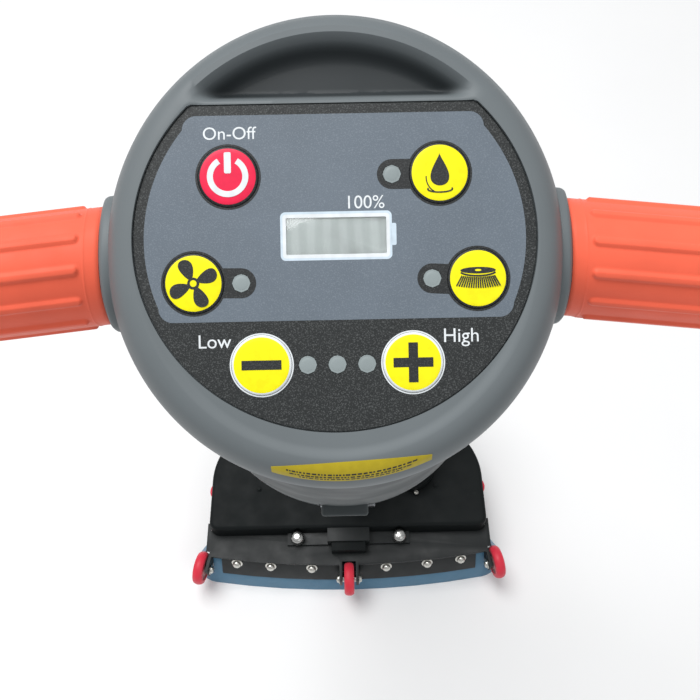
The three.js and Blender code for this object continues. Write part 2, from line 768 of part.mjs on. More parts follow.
// ---------------------------------------------------------------- squeegee
// Points along the blade's top line from left to right, each with its outward direction.
function bladePath(half, curled) {
  const centreY = BLADE.rear + BLADE.arc;
  const arcHalf = Math.asin(half / BLADE.arc);
  const steps = 16;
  const arc = Array.from({ length: steps + 1 }, (_, i) => {
    const angle = arcHalf * (2 * (i / steps) - 1);
    const out = [Math.sin(angle), -Math.cos(angle)];
    return { at: [BLADE.arc * out[0], centreY + BLADE.arc * out[1]], out };
  });
  if (!curled) return arc;
  const last = arc[steps];
  const pivot = last.at.map((value, i) => value - CURL.radius * last.out[i]);
  const curl = Array.from({ length: 6 }, (_, i) => {
    const angle = arcHalf + ((CURL.to - arcHalf) * (i + 1)) / 6;
    const out = [Math.sin(angle), -Math.cos(angle)];
    return { at: pivot.map((value, k) => value + CURL.radius * out[k]), out };
  });
  const { at, out } = curl[5];
  const tail = { at: [at[0] - CURL.tail * out[1], at[1] + CURL.tail * out[0]], out };
  const end = [...curl, tail];
  const mirrored = ([x, y]) => [-x, y];
  const start = end.map((point) => ({ at: mirrored(point.at), out: mirrored(point.out) }));
  return [...start.reverse(), ...arc, ...end];
}

// A raked layer: [depth, height] corners, depth being how far in front of the strap's rear face they lie.
function rakedLayer(section, half, curled = false) {
  const rings = bladePath(half, curled).map(({ at, out }) =>
    section.map(([depth, z]) => {
      const outward = (BLADE.line - z) * Math.tan(BLADE.rake) - depth;
      return [at[0] + out[0] * outward, at[1] + out[1] * outward, z];
    }),
  );
  return loft(rings, { section });
}

const layer = (near, far, low, high) => [[near, low], [far, low], [far, high], [near, high]];

// Each wheel's place and the turn of its axle about Z.
const WHEELS = {
  left: { at: [-WHEEL.endX, WHEEL.endY, WHEEL.z], yaw: -WHEEL.yaw, side: -1 },
  center: { at: [0, WHEEL.rear, WHEEL.z], yaw: 0, side: 0 },
  right: { at: [WHEEL.endX, WHEEL.endY, WHEEL.z], yaw: WHEEL.yaw, side: 1 },
};
const atWheel = (shape, { at, yaw }) => shape.rotate([0, 0, yaw / DEG]).translate(at);

const NOTCH = { radius: WHEEL.radius + 3.5, half: 10.4, eye: 4.2, open: 16 };
const spanOf = (a, b) => [Math.min(a, b), Math.max(a, b)];
const lugSpan = (side) => spanOf(side * NOTCH.half, side * (NOTCH.half + NOTCH.eye));

// The room that a wheel, and the lugs that hold it, take out of the layers round it.
function wheelRoom(wheel, wide) {
  const half = wide ? NOTCH.half + NOTCH.eye + 0.6 : NOTCH.half;
  const span = wheel.side === 0 ? [-half, half] : spanOf(-wheel.side * half, wheel.side * NOTCH.open);
  return atWheel(rodX(NOTCH.radius, ...span), wheel);
}

// A lug down beside a wheel, with an eye for its axle.
function wheelLug(wheel, side) {
  const span = lugSpan(side);
  return atWheel(join(box(span, [-8, 26], [-8, 18]), rodX(8, ...span)), wheel);
}

const knobScrewHoles = () =>
  [-1, 1].map((side) => rodZ(KNOB.stem + 0.4, 50, 80, [side * KNOB.x, KNOB.y], 12));

const frontEdge = DECK.rear + 19;

function squeegeeFrame() {
  const { plate, top, front, frontHalf } = SQUEEGEE;
  const rearEdge = bladePath(plate, false).map(({ at, out }) => [at[0] + out[0], at[1] + out[1]]);
  const deckPlate = slab([...rearEdge, [plate, frontEdge], [-plate, frontEdge]], BLADE.line + GAP, top);
  const rearFlange = rakedLayer(layer(6.2, 10, 24, 64), BLADE.half - 4);
  const frontFlange = rakedLayer(layer(front, front + 3.6, 24, 64), frontHalf);
  const wheels = Object.values(WHEELS);
  const rooms = wheels.map((wheel) => wheelRoom(wheel, false));
  const body = cut(join(deckPlate, rearFlange, frontFlange), ...rooms, deckForm(0.4));
  const lugs = wheels.flatMap((wheel) =>
    (wheel.side === 0 ? [-1, 1] : [-wheel.side]).map((side) => wheelLug(wheel, side)),
  );
  const bores = wheels.map((wheel) => atWheel(rodX(WHEEL.bore, -25, 25, [0, 0], 12), wheel));
  const port = box([-DUCT.half + 4, DUCT.half - 4], [-119, -111], [55, 80]);
  return cut(join(body, ...lugs), ...bores, ...knobScrewHoles(), port);
}

function squeegeeHanger() {
  const bottom = SQUEEGEE.top + GAP;
  const depth = [-108, frontEdge];
  const plate = box([-94, 94], depth, [bottom, bottom + 5.2]);
  const bridge = box([-DUCT.half - 6, DUCT.half + 6], depth, [bottom, DUCT.top + 5]);
  const port = box([-DUCT.half - GAP, DUCT.half + GAP], [-130, -60], [60, DUCT.top + GAP]);
  return cut(join(plate, bridge), deckForm(0.4), port, ...knobScrewHoles());
}

const knob = (side) =>
  turned(
    [
      [0, 56],
      [KNOB.stem, 56],
      [KNOB.stem, 73.8],
      [10.5, 73.8],
      [10.5, 84],
      [8.6, 88],
      [4, 90],
      [0, 90.4],
    ],
    18,
  ).translate([side * KNOB.x, KNOB.y, 0]);

function wheelTyre() {
  const { radius, half, bore } = WHEEL;
  return turned([
    [bore, -half],
    [radius - 5, -half],
    [radius - 1.5, -half + 2.6],
    [radius, 0],
    [radius - 1.5, half - 2.6],
    [radius - 5, half],
    [bore, half],
    [bore, -half],
  ]).rotate([0, 90, 0]);
}

// The middle axle has a lug and a nut on both sides, and an end axle a lug on its inner side only.
function axle(side) {
  const [rod, nut] = [5, 7.6];
  const lugFace = NOTCH.half + NOTCH.eye + GAP;
  const outerHead = side === 0 ? [lugFace, lugFace + 5] : [8, 11];
  const parts = [
    rodX(rod, -lugFace - 3, outerHead[0] + 1, [0, 0], 12),
    rodX(nut, -lugFace - 5, -lugFace, [0, 0], 12),
    rodX(nut, ...outerHead, [0, 0], 12),
  ];
  return join(...parts).scale([side < 0 ? -1 : 1, 1, 1]);
}

// The strap that clamps the rear blade is in two halves, one on each side of the middle wheel.
function rearStrap(side) {
  const whole = rakedLayer(layer(0, STRAP.thick, STRAP.low, STRAP.high), STRAP.half);
  const half = whole.intersect(box(spanOf(0, side * 300), [-300, 0], [0, 100]));
  return cut(half, wheelRoom(WHEELS.center, true));
}

function rearBlade() {
  const whole = rakedLayer(layer(2.9, 5.9, 0, 60), BLADE.half, true);
  return cut(whole, ...Object.values(WHEELS).map((wheel) => wheelRoom(wheel, true)));
}

const frontBlade = () =>
  rakedLayer(layer(SQUEEGEE.front + 4, SQUEEGEE.front + 7, 0, 52), SQUEEGEE.frontHalf);

piece(deck, "squeegee_frame", squeegeeFrame(), black);
piece(deck, "squeegee_hanger", squeegeeHanger(), black);
piece(deck, "rear_strap_left", rearStrap(-1), black);
piece(deck, "rear_strap_right", rearStrap(1), black);
piece(deck, "rear_blade", rearBlade(), blue);
piece(deck, "front_blade", frontBlade(), blue);
for (const [name, wheel] of Object.entries(WHEELS)) {
  piece(deck, `squeegee_wheel_${name}`, atWheel(wheelTyre(), wheel), red);
  piece(deck, `axle_${name}`, atWheel(axle(wheel.side), wheel), steel);
}
piece(deck, "knob_left", knob(-1), steel);
piece(deck, "knob_right", knob(1), steel);

// ---------------------------------------------------------------- origin
// The machine's box is centred over the origin and stands on z = 0.
const extent = new THREE.Box3().setFromObject(machine, true);
const centre = extent.getCenter(new THREE.Vector3());
machine.position.set(-centre.x, -centre.y, -extent.min.z);

export default machine;
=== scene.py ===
"""Looks for a compact walk-behind floor scrubber dryer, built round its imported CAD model.

Shapes are drawn in millimetres in one of three frames: the machine's, the tilted control head's
(u right, v up the panel, w out of it) and the leaning column's (s along it). Each frame's matrix
turns them into metres.
"""
import math
import random

import bmesh
import bpy
from mathutils import Matrix, Vector


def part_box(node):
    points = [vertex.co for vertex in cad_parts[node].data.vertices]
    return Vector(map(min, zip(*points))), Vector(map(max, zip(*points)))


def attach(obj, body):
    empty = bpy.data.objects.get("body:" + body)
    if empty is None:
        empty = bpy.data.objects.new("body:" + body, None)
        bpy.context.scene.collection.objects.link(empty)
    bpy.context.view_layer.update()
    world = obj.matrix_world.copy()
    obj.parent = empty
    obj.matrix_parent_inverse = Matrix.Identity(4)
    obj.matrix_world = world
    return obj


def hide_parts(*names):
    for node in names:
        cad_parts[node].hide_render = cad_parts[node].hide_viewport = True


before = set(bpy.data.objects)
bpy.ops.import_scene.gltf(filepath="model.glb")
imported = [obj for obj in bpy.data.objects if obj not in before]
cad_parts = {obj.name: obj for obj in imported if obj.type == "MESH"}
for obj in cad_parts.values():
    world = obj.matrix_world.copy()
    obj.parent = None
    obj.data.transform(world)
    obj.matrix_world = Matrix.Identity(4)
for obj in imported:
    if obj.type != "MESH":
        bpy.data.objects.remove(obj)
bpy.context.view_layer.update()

# ------------------------------------------------------------------ driving dimensions, mm
BRUSH = {"x": 109.0, "y": -8.0}
LEAN = math.radians(17)
COLUMN_FOOT = 150.0
COLUMN_BOTTOM = 681.0
COLUMN_TOP = 833.5
HEAD_CENTRE = (0.0, -277.0, 1032.0)
HEAD_TILT = math.radians(30)
HEAD_SQUASH = 80.8 / 83.5
SEAM_W = -35.0
PANEL = {"a": 64.0, "b": 61.0, "chord": 43.0, "thick": 0.8}
KEYS = {
    "power": (-33.5, 20.3),
    "water": (33.5, 20.3),
    "fan": (-45.0, -13.3),
    "brush": (45.0, -13.3),
    "minus": (-24.0, -39.5),
    "plus": (24.0, -39.5),
}
LENSES = ((18.4, 20.3), (-30.0, -13.4), (30.6, -13.0), (-9.4, -39.7), (0.0, -39.7), (9.4, -39.7))
WINDOW = {"centre": (0.4, 1.1), "width": 33.0, "height": 12.4}
KEY_RADIUS = 9.6
LENS_RADIUS = 2.9
GRIP = {"v": -3.0, "w": -33.0, "root": 80.0, "start": 5.8, "length": 126.0, "radius": 21.0}
GRIP_RISE = math.radians(6)
GRIP_SWEEP = math.radians(6.8)
BAR_RADIUS = 12.7
SIDES = {"left": -1, "right": 1}

# The record's origin is under the middle of the machine's box, so the drawing frame is shifted along Y.
hub_low, hub_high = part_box("drive_hub_left")
SHIFT_Y = (hub_low[1] + hub_high[1]) / 2 - BRUSH["y"] / 1000
MACHINE = Matrix.Translation((0, SHIFT_Y, 0)) @ Matrix.Scale(0.001, 4)
HEAD = MACHINE @ Matrix.Translation(HEAD_CENTRE) @ Matrix.Rotation(HEAD_TILT, 4, "X")
COLUMN = MACHINE @ Matrix.Translation((0, 0, COLUMN_FOOT)) @ Matrix.Rotation(LEAN, 4, "X")


# ------------------------------------------------------------------ camera
EYE = (3.0, -426.5, 1220.5)
EYE_PITCH = math.radians(30)
EYE_YAW = math.radians(-0.5)
EYE_ROLL = math.radians(-0.7)


def camera():
    data = bpy.data.cameras.new("view")
    data.lens = 38.6
    obj = bpy.data.objects.new("view", data)
    bpy.context.scene.collection.objects.link(obj)
    place = Matrix.Translation(MACHINE @ Vector(EYE))
    turn = Matrix.Rotation(EYE_YAW, 4, "Z") @ Matrix.Rotation(EYE_PITCH, 4, "X")
    obj.matrix_world = place @ turn @ Matrix.Rotation(EYE_ROLL, 4, "Z")
    bpy.context.scene.camera = obj


camera()


# ------------------------------------------------------------------ materials
def tinted(colour, factor):
    return tuple(min(1.0, channel * factor) for channel in colour[:3]) + (1.0,)


class Paint:
    """A Principled material whose colour, roughness and bump come from noise in object space."""

    def __init__(self, name, roughness, metallic=0.0, specular=0.5, coat=0.0, sheen=0.0):
        self.material = bpy.data.materials.new(name)
        self.material.use_nodes = True
        self.tree = self.material.node_tree
        self.shader = self.tree.nodes["Principled BSDF"]
        self.shader.inputs["Roughness"].default_value = roughness
        self.shader.inputs["Metallic"].default_value = metallic
        self.shader.inputs["Specular IOR Level"].default_value = specular
        self.shader.inputs["Coat Weight"].default_value = coat
        self.shader.inputs["Sheen Weight"].default_value = sheen
        self.roughness = roughness
        self.coords = self.tree.nodes.new("ShaderNodeTexCoord").outputs["Object"]
        self.material.diffuse_color = (0.5, 0.5, 0.5, 1)

    def node(self, kind, **values):
        made = self.tree.nodes.new(kind)
        for key, value in values.items():
            setattr(made, key, value)
        return made

    def link(self, out, into):
        self.tree.links.new(out, into)

    def stretched(self, scale):
        """Object coordinates scaled differently along each axis."""
        mapping = self.node("ShaderNodeMapping")
        mapping.inputs["Scale"].default_value = scale
        self.link(self.coords, mapping.inputs["Vector"])
        return mapping.outputs["Vector"]

    def noise(self, size_mm, detail=2.0, coords=None):
        """Noise whose blotches are about this wide."""
        made = self.node("ShaderNodeTexNoise")
        made.inputs["Scale"].default_value = 1000 / size_mm
        made.inputs["Detail"].default_value = detail
        self.link(coords or self.coords, made.inputs["Vector"])
        return made.outputs["Fac"]

    def spread(self, value, low, high, to_low=0.0, to_high=1.0):
        made = self.node("ShaderNodeMapRange")
        for socket, number in zip(made.inputs[1:5], (low, high, to_low, to_high)):
            socket.default_value = number
        self.link(value, made.inputs["Value"])
        return made.outputs["Result"]

    def blend(self, factor, first, second):
        """Mixes two colours, each a tuple or a socket."""
        made = self.node("ShaderNodeMix", data_type="RGBA")
        for socket, value in ((made.inputs[0], factor), (made.inputs[6], first), (made.inputs[7], second)):
            if isinstance(value, (tuple, float, int)):
                socket.default_value = value
            else:
                self.link(value, socket)
        return made.outputs[2]

    def colour(self, socket):
        self.link(socket, self.shader.inputs["Base Color"])
        return self

    def mottled(self, colour, amount=0.1, size_mm=40):
        """The colour, a little darker and lighter in soft blotches."""
        blotches = self.spread(self.noise(size_mm, 3), 0.3, 0.7)
        return self.blend(blotches, tinted(colour, 1 - amount), tinted(colour, 1 + amount))

    def scuffed(self, base, colour, amount=0.35, size_mm=9):
        """Rare pale rubs over a colour."""
        rubs = self.spread(self.noise(size_mm, 6), 0.68, 0.82, 0.0, amount)
        return self.blend(rubs, base, tinted(colour, 1.0))

    def rough(self, spread=0.06, size_mm=25):
        value = self.spread(
            self.noise(size_mm, 4), 0.3, 0.7, max(
                0.03, self.roughness - spread
            ), min(1, self.roughness + spread)
        )
        self.link(value, self.shader.inputs["Roughness"])
        return self

    def bump(self, height, distance_mm=0.05, strength=1.0, before=None):
        made = self.node("ShaderNodeBump")
        made.inputs["Strength"].default_value = strength
        made.inputs["Distance"].default_value = distance_mm / 1000
        self.link(height, made.inputs["Height"])
        if before is not None:
            self.link(before, made.inputs["Normal"])
        self.link(made.outputs["Normal"], self.shader.inputs["Normal"])
        return made.outputs["Normal"]


def moulded(name, colour, roughness=0.5, tone=0.07, grain_mm=0.7, depth_mm=0.02, scuff=0.15, **options):
    """Moulded plastic: fine grain, soft tone changes and a few rubs."""
    paint = Paint(name, roughness, **options)
    base = paint.mottled(colour, tone)
    paint.colour(paint.scuffed(base, tuple(min(1, c * 1.5 + 0.03) for c in colour), scuff))
    paint.rough(0.07)
    waves = paint.bump(paint.noise(14, 2), 0.06, 0.35)
    paint.bump(paint.noise(grain_mm, 3), depth_mm, 0.7, waves)
    return paint.material


def metal(name, colour, roughness=0.3, stretch=(1, 1, 1), depth_mm=0.01, tone=0.1):
    """Bare metal with drawn or turned lines along one axis."""
    paint = Paint(name, roughness, metallic=1.0)
    lines = paint.noise(1.2, 4, paint.stretched(stretch))
    base = paint.mottled(colour, tone, 12)
    paint.colour(paint.blend(paint.spread(lines, 0.25, 0.75), base, tinted(colour, 0.75)))
    value = paint.spread(lines, 0.3, 0.7, roughness - 0.08, roughness + 0.12)
    paint.link(value, paint.shader.inputs["Roughness"])
    paint.bump(lines, depth_mm, 0.5)
    return paint.material


def speckled(name, colour, fleck, roughness, grain_mm=0.42, amount=0.55):
    """A printed film with the sparkle of a coarse grain."""
    paint = Paint(name, roughness, specular=0.45)
    grains = paint.noise(grain_mm, 1)
    flecks = paint.spread(grains, 0.52, 0.68, 0.0, amount)
    paint.colour(paint.blend(flecks, paint.mottled(colour, 0.06, 18), tinted(fleck, 1.0)))
    paint.rough(0.08, 1.5)
    paint.bump(grains, 0.05, 0.8)
    return paint.material


def soft_rubber(name, colour, roughness=0.62, grain_mm=0.35, depth_mm=0.02, tone=0.06, sheen=0.25):
    paint = Paint(name, roughness, specular=0.35, sheen=sheen)
    base = paint.mottled(colour, tone, 22)
    dust = paint.spread(paint.noise(5, 6), 0.6, 0.85, 0.0, 0.12)
    paint.colour(paint.blend(dust, base, tinted(colour, 1.25)))
    paint.rough(0.06, 8)
    paint.bump(paint.noise(grain_mm, 2), depth_mm, 0.6)
    return paint.material


def shell_paint():
    """The head's grey, darkened as painted shade where the mesh says that the surface lies in a recess."""
    paint = Paint("shell_grey", 0.52, specular=0.32)
    colour = (0.146, 0.166, 0.175)
    recess = paint.node("ShaderNodeAttribute", attribute_name="recess").outputs["Fac"]
    base = paint.mottled(colour, 0.05, 45)
    # Painted shade: deep in the scoop the grey is mixed towards near black.
    paint.colour(paint.blend(recess, base, tinted((0.03, 0.036, 0.039), 1.0)))
    paint.rough(0.05, 30)
    waves = paint.bump(paint.noise(18, 2), 0.05, 0.3)
    paint.bump(paint.noise(0.5, 2), 0.012, 0.6, waves)
    return paint.material


def display_paint():
    """The grey face of the battery gauge, with faint upright bars and blotches of mould."""
    paint = Paint("display_grey", 0.35)
    wave = paint.node("ShaderNodeTexWave", wave_type="BANDS", bands_direction="X")
    wave.inputs["Scale"].default_value = 62
    wave.inputs["Distortion"].default_value = 1.2
    wave.inputs["Detail"].default_value = 1.0
    paint.link(paint.coords, wave.inputs["Vector"])
    bars = paint.spread(wave.outputs["Fac"], 0.2, 0.8)
    face = paint.blend(bars, (0.78, 0.83, 0.81, 1), (0.9, 0.94, 0.92, 1))
    paint.colour(
        paint.blend(paint.spread(paint.noise(9, 4), 0.55, 0.8, 0.0, 0.5), face, (0.4, 0.38, 0.41, 1))
    )
    paint.bump(bars, 0.02, 0.3)
    return paint.material


def bar_print(name, colour, roughness=0.4):
    """Ink: an even colour with the slight unevenness of screen printing."""
    paint = Paint(name, roughness, specular=0.25)
    paint.colour(paint.mottled(colour, 0.07, 3))
    paint.bump(paint.noise(0.5, 2), 0.01, 0.5)
    return paint.material


def glass(name):
    paint = Paint(name, 0.06, specular=0.5)
    paint.shader.inputs["Transmission Weight"].default_value = 0.92
    paint.shader.inputs["IOR"].default_value = 1.45
    smears = paint.spread(paint.noise(6, 5), 0.4, 0.8, 0.05, 0.16)
    paint.link(smears, paint.shader.inputs["Roughness"])
    paint.colour(paint.mottled((0.9, 0.93, 0.93), 0.03, 8))
    return paint.material


M = {
    "shell": shell_paint(),
    # Painted shade: the lower cover's and the tank's greys are their own darker grey made darker still, for
    # the shade under the head's rim.
    "under": moulded("lower_grey_painted_shade", (0.1, 0.116, 0.12), 0.56, grain_mm=0.6, depth_mm=0.015, specular=0.22),
    "tank": moulded("tank_grey_painted_shade", (0.07, 0.081, 0.084), 0.56, grain_mm=0.6, depth_mm=0.015, specular=0.18),
    "panel": speckled("panel_black", (0.011, 0.0135, 0.014), (0.12, 0.128, 0.128), 0.52),
    "slate": speckled("panel_slate", (0.128, 0.158, 0.192), (0.23, 0.265, 0.305), 0.5, amount=0.4),
    "ink_black": speckled("ink_black", (0.012, 0.014, 0.015), (0.1, 0.105, 0.105), 0.52, amount=0.35),
    "ink_white": bar_print("ink_white", (0.78, 0.82, 0.84)),
    "ink_frame": bar_print("ink_frame", (0.62, 0.73, 0.82)),
    "key_red": bar_print("key_red", (0.83, 0.02, 0.075), 0.38),
    "key_yellow": bar_print("key_yellow", (0.95, 0.86, 0.004), 0.45),
    "lens": moulded("light_lens", (0.27, 0.315, 0.32), 0.4, tone=0.06, grain_mm=0.3, scuff=0.05),
    "display": display_paint(),
    "window": glass("window_clear"),
    "label": bar_print("label_yellow", (0.475, 0.37, 0.0198), 0.35),
    "coral": soft_rubber("grip_coral", (0.88, 0.125, 0.06)),
    "tube": metal("tube_alloy", (0.62, 0.63, 0.64), 0.32, (0.02, 1, 1)),
    "steel": metal("pin_steel", (0.62, 0.62, 0.6), 0.24, (1, 1, 0.15)),
    "nut": metal("nut_nickel", (0.72, 0.71, 0.66), 0.3, (1, 1, 1), 0.006, 0.05),
    "cast": moulded("cast_alloy", (0.2, 0.21, 0.22), 0.45, grain_mm=1.1, depth_mm=0.05, metallic=0.6),
    "mast": moulded("mast_black", (0.03, 0.032, 0.035), 0.42, grain_mm=0.4, depth_mm=0.012),
    "black": moulded(
        "body_black", (0.0065, 0.0085, 0.0088), 0.6, grain_mm=0.8, depth_mm=0.03, specular=0.14
    ),
    "squeegee": moulded(
        "squeegee_black", (0.011, 0.0135, 0.014), 0.5, grain_mm=0.8, depth_mm=0.02, specular=0.3
    ),
    "motor": moulded("motor_metal", (0.16, 0.165, 0.17), 0.45, grain_mm=0.9, depth_mm=0.03, metallic=0.5),
    "rubber": soft_rubber("bumper_rubber", (0.022, 0.022, 0.024), 0.7, sheen=0.1),
    "nylon": moulded("bristle_nylon", (0.03, 0.03, 0.034), 0.45, grain_mm=0.3, scuff=0.3),
    "blue": soft_rubber("blade_blue", (0.05, 0.175, 0.29), 0.5),
    "red": soft_rubber("wheel_red", (0.72, 0.03, 0.06), 0.45, sheen=0.1),
    "cap": moulded("cap_blue", (0.05, 0.17, 0.42), 0.4, grain_mm=0.5),
    "board": moulded("board_green", (0.03, 0.15, 0.06), 0.4, grain_mm=2.0),
    # Painted highlight: the hub's paler colour is lightened towards pink for the light on the wheel's side
    # face.
    "wheel_hub": moulded("wheel_hub_pink_highlight", (0.5, 0.24, 0.24), 0.5, grain_mm=0.5),
}


# ------------------------------------------------------------------ mesh building
class Shape:
    """Corners and faces in millimetres, each face with the name of its paint."""

    def __init__(self):
        self.points = []
        self.faces = []
        self.paints = []

    def add(self, points, faces, paint, turn=None):
        start = len(self.points)
        for point in points:
            self.points.append(turn @ Vector(point) if turn is not None else Vector(point))
        for face in faces:
            self.faces.append([start + index for index in face])
            self.paints.append(paint)
        return self


def loft(rings, loop=False, capped=True):
    """Skins rings of points. A loop joins the last ring to the first; otherwise the ends are capped."""
    count = len(rings[0])
    points = [point for ring in rings for point in ring]
    faces = []
    last = len(rings) if loop else len(rings) - 1
    for row in range(last):
        here, after = row * count, ((row + 1) % len(rings)) * count
        for i in range(count):
            j = (i + 1) % count
            faces.append((here + i, here + j, after + j, after + i))
    if capped and not loop:
        faces.append(tuple(reversed(range(count))))
        end = (len(rings) - 1) * count
        faces.append(tuple(range(end, end + count)))
    return points, faces


def circle(radius, z, sides=64, centre=(0.0, 0.0), squash=1.0):
    cx, cy = centre
    step = 2 * math.pi / sides
    return [
        (
            cx + squash * radius * math.cos(i * step), cy + radius * math.sin(i * step), z
        ) for i in range(sides)
    ]


def turned(profile, sides=64):
    """A profile of (radius, height) points turned about Z, closed on itself or ended on flat discs."""
    closed = profile[0] == profile[-1]
    rings = [circle(radius, z, sides) for radius, z in (profile[:-1] if closed else profile)]
    return loft(rings, loop=closed)


def rounded(profile, radius=1.0, steps=3):
    """An open profile with each inner corner rounded by an arc-like curve."""
    out = [profile[0]]
    for before, here, after in zip(profile, profile[1:], profile[2:]):
        a, b, c = Vector(before), Vector(here), Vector(after)
        reach_in = min(radius, (a - b).length * 0.45)
        reach_out = min(radius, (c - b).length * 0.45)
        start = b + (a - b).normalized() * reach_in
        end = b + (c - b).normalized() * reach_out
        for i in range(steps + 1):
            t = i / steps
            out.append(tuple(start * (1 - t) ** 2 + b * (2 * t * (1 - t)) + end * t**2))
    out.append(profile[-1])
    return out


def plate(outline, low, high, edge=0.0, steps=2):
    """A flat outline raised between two heights, with its upper edge rounded by moving it inwards."""
    if edge <= 0:
        return loft([[(x, y, low) for x, y in outline], [(x, y, high) for x, y in outline]])
    rings = [[(x, y, low) for x, y in outline]]
    for i in range(steps + 1):
        angle = math.pi / 2 * i / steps
        grown = inset(outline, edge * (1 - math.cos(angle)))
        rings.append([(x, y, high - edge + edge * math.sin(angle)) for x, y in grown])
    return loft(rings)


def inset(outline, amount):
    """An anticlockwise outline moved inwards along its corners' mean normals."""
    moved = []
    count = len(outline)
    for i, (x, y) in enumerate(outline):
        before, after = Vector(outline[i - 1]), Vector(outline[(i + 1) % count])
        first = (Vector((x, y)) - before).normalized()
        second = (after - Vector((x, y))).normalized()
        normal = Vector((-first.y - second.y, first.x + second.x))
        if normal.length < 1e-9:
            moved.append((x, y))
            continue
        normal.normalize()
        stretch = max(0.5, normal.dot(Vector((-first.y, first.x))))
        moved.append((x + normal.x * amount / stretch, y + normal.y * amount / stretch))
    return moved


def rounded_box(width, height, corner, centre=(0.0, 0.0), steps=6):
    cx, cy = centre
    corner = min(corner, width / 2, height / 2)
    out = []
    for quarter, (sx, sy) in enumerate(((1, 1), (-1, 1), (-1, -1), (1, -1))):
        for i in range(steps + 1):
            angle = math.pi / 2 * (quarter + i / steps)
            out.append(
                (
                    cx + sx * (width / 2 - corner) + corner * math.cos(angle),
                    cy + sy * (height / 2 - corner) + corner * math.sin(angle),
                )
            )
    return out


def disc(radius, centre=(0.0, 0.0), sides=48):
    return [(x, y) for x, y, _ in circle(radius, 0, sides, centre)]


def bar(radius, start, end, sides=32):
    """A round bar between two points."""
    start, end = Vector(start), Vector(end)
    turn = Vector((0, 0, 1)).rotation_difference(end - start).to_matrix()
    rings = [[turn @ Vector(p) + here for p in circle(radius, 0, sides)] for here in (start, end)]
    return loft(rings)


def block(low, high):
    outline = [(low[0], low[1]), (high[0], low[1]), (high[0], high[1]), (low[0], high[1])]
    return plate(outline, low[2], high[2])


def tidy(mesh, angle=32):
    """Faces turned outwards and smooth, with creases where they meet at more than the angle."""
    work = bmesh.new()
    work.from_mesh(mesh)
    bmesh.ops.remove_doubles(work, verts=work.verts, dist=1e-7)
    bmesh.ops.recalc_face_normals(work, faces=work.faces)
    for face in work.faces:
        face.smooth = True
    work.to_mesh(mesh)
    work.free()
    mesh.set_sharp_from_angle(angle=math.radians(angle))


def apply_modifiers(obj):
    depsgraph = bpy.context.evaluated_depsgraph_get()
    mesh = bpy.data.meshes.new_from_object(obj.evaluated_get(depsgraph))
    obj.modifiers.clear()
    obj.data = mesh


def to_object(name, shape, place):
    mesh = bpy.data.meshes.new(name)
    mesh.from_pydata([place @ point for point in shape.points], [], shape.faces)
    names = list(dict.fromkeys(shape.paints))
    for paint in names:
        mesh.materials.append(M[paint])
    mesh.polygons.foreach_set("material_index", [names.index(paint) for paint in shape.paints])
    mesh.validate()
    obj = bpy.data.objects.new(name, mesh)
    bpy.context.scene.collection.objects.link(obj)
    return obj, names


def piece(name, shape, place, body, replaces=(), cutters=(), angle=32):
    """Makes one visible piece: cut, smoothed, and riding on its body."""
    obj, names = to_object(name, shape, place)
    tidy(obj.data, angle)
    for cutter in cutters:
        tool, _ = to_object("cutter", cutter, place)
        tidy(tool.data)
        cut = obj.modifiers.new("cut", "BOOLEAN")
        cut.operation = "DIFFERENCE"
        cut.solver = "EXACT"
        cut.object = tool
        apply_modifiers(obj)
        bpy.data.objects.remove(tool)
    tidy(obj.data, angle)
    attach(obj, body)
    if replaces:
        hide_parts(*replaces)
    return obj


def one(paint, *meshes):
    """A shape of one paint from one or more (points, faces) pairs."""
    shape = Shape()
    for points, faces in meshes:
        shape.add(points, faces, paint)
    return shape


# ------------------------------------------------------------------ control head
RIM = [(83.4, -34.4), (83.3, -31), (82.6, -25), (80.8, -19), (79.4, -14.4), (77.6, -9.5), (76.3, -6.2)]
RIM += [(74.6, -3.4), (72.9, -1.4), (71, -0.2), (69, 0.5), (67, 0.8)]
SCOOP = {"depth": 8.0, "arc_full": 61.5, "arc_out": 70.5, "chord_start": 43.8, "chord_full": 49.5}
BED_W = -1.1
HEAD_SIDES = 288


def smoothstep(value, start, end):
    t = min(1.0, max(0.0, (value - start) / (end - start)))
    return t * t * (3 - 2 * t)


def rim_shift(w):
    """How far a ring of the rim is shifted down the panel: the higher it is, the more."""
    return -3 * smoothstep(w, -29, -8)


def rim_radius(u, v, w):
    """A place's distance from the axis of the rim's ring at its height."""
    return math.hypot(u / HEAD_SQUASH, v - rim_shift(w))


def rim_height(radius):
    """The rim's outside height at a distance from the head's axis, by its profile."""
    inner = list(reversed(RIM))
    if radius <= inner[0][0]:
        return inner[0][1] - 0.8 * smoothstep(inner[0][0] - radius, 0, 4)
    for (r0, w0), (r1, w1) in zip(inner, inner[1:]):
        if radius <= r1:
            return w0 + (w1 - w0) * (radius - r0) / (r1 - r0)
    return inner[-1][1]


def scoop_share(u, v):
    """How far into the scoop a place lies, from 0 outside to 1 on its floor."""
    radius = rim_radius(u, v, 0)
    from_arc = 1 - smoothstep(radius, SCOOP["arc_full"], SCOOP["arc_out"])
    from_chord = smoothstep(v, SCOOP["chord_start"], SCOOP["chord_full"])
    return from_arc * from_chord


def panel_reach(angle, grow=0.0):
    """The distance from the panel's centre to its edge at an angle."""
    c, s = math.cos(angle), math.sin(angle)
    ellipse = 1 / math.hypot(c / (PANEL["a"] + grow), s / (PANEL["b"] + grow))
    return min(ellipse, (PANEL["chord"] + grow) / s) if s > 0 else ellipse


def panel_outline(grow=0.0, sides=240):
    """The panel's ellipse with its straight upper edge."""
    b = PANEL["b"] + grow
    start = math.asin((PANEL["chord"] + grow) / b)
    span = math.pi + 2 * start
    out = []
    for i in range(sides + 1):
        angle = math.pi - start + span * i / sides
        out.append(((PANEL["a"] + grow) * math.cos(angle), b * math.sin(angle)))
    return out


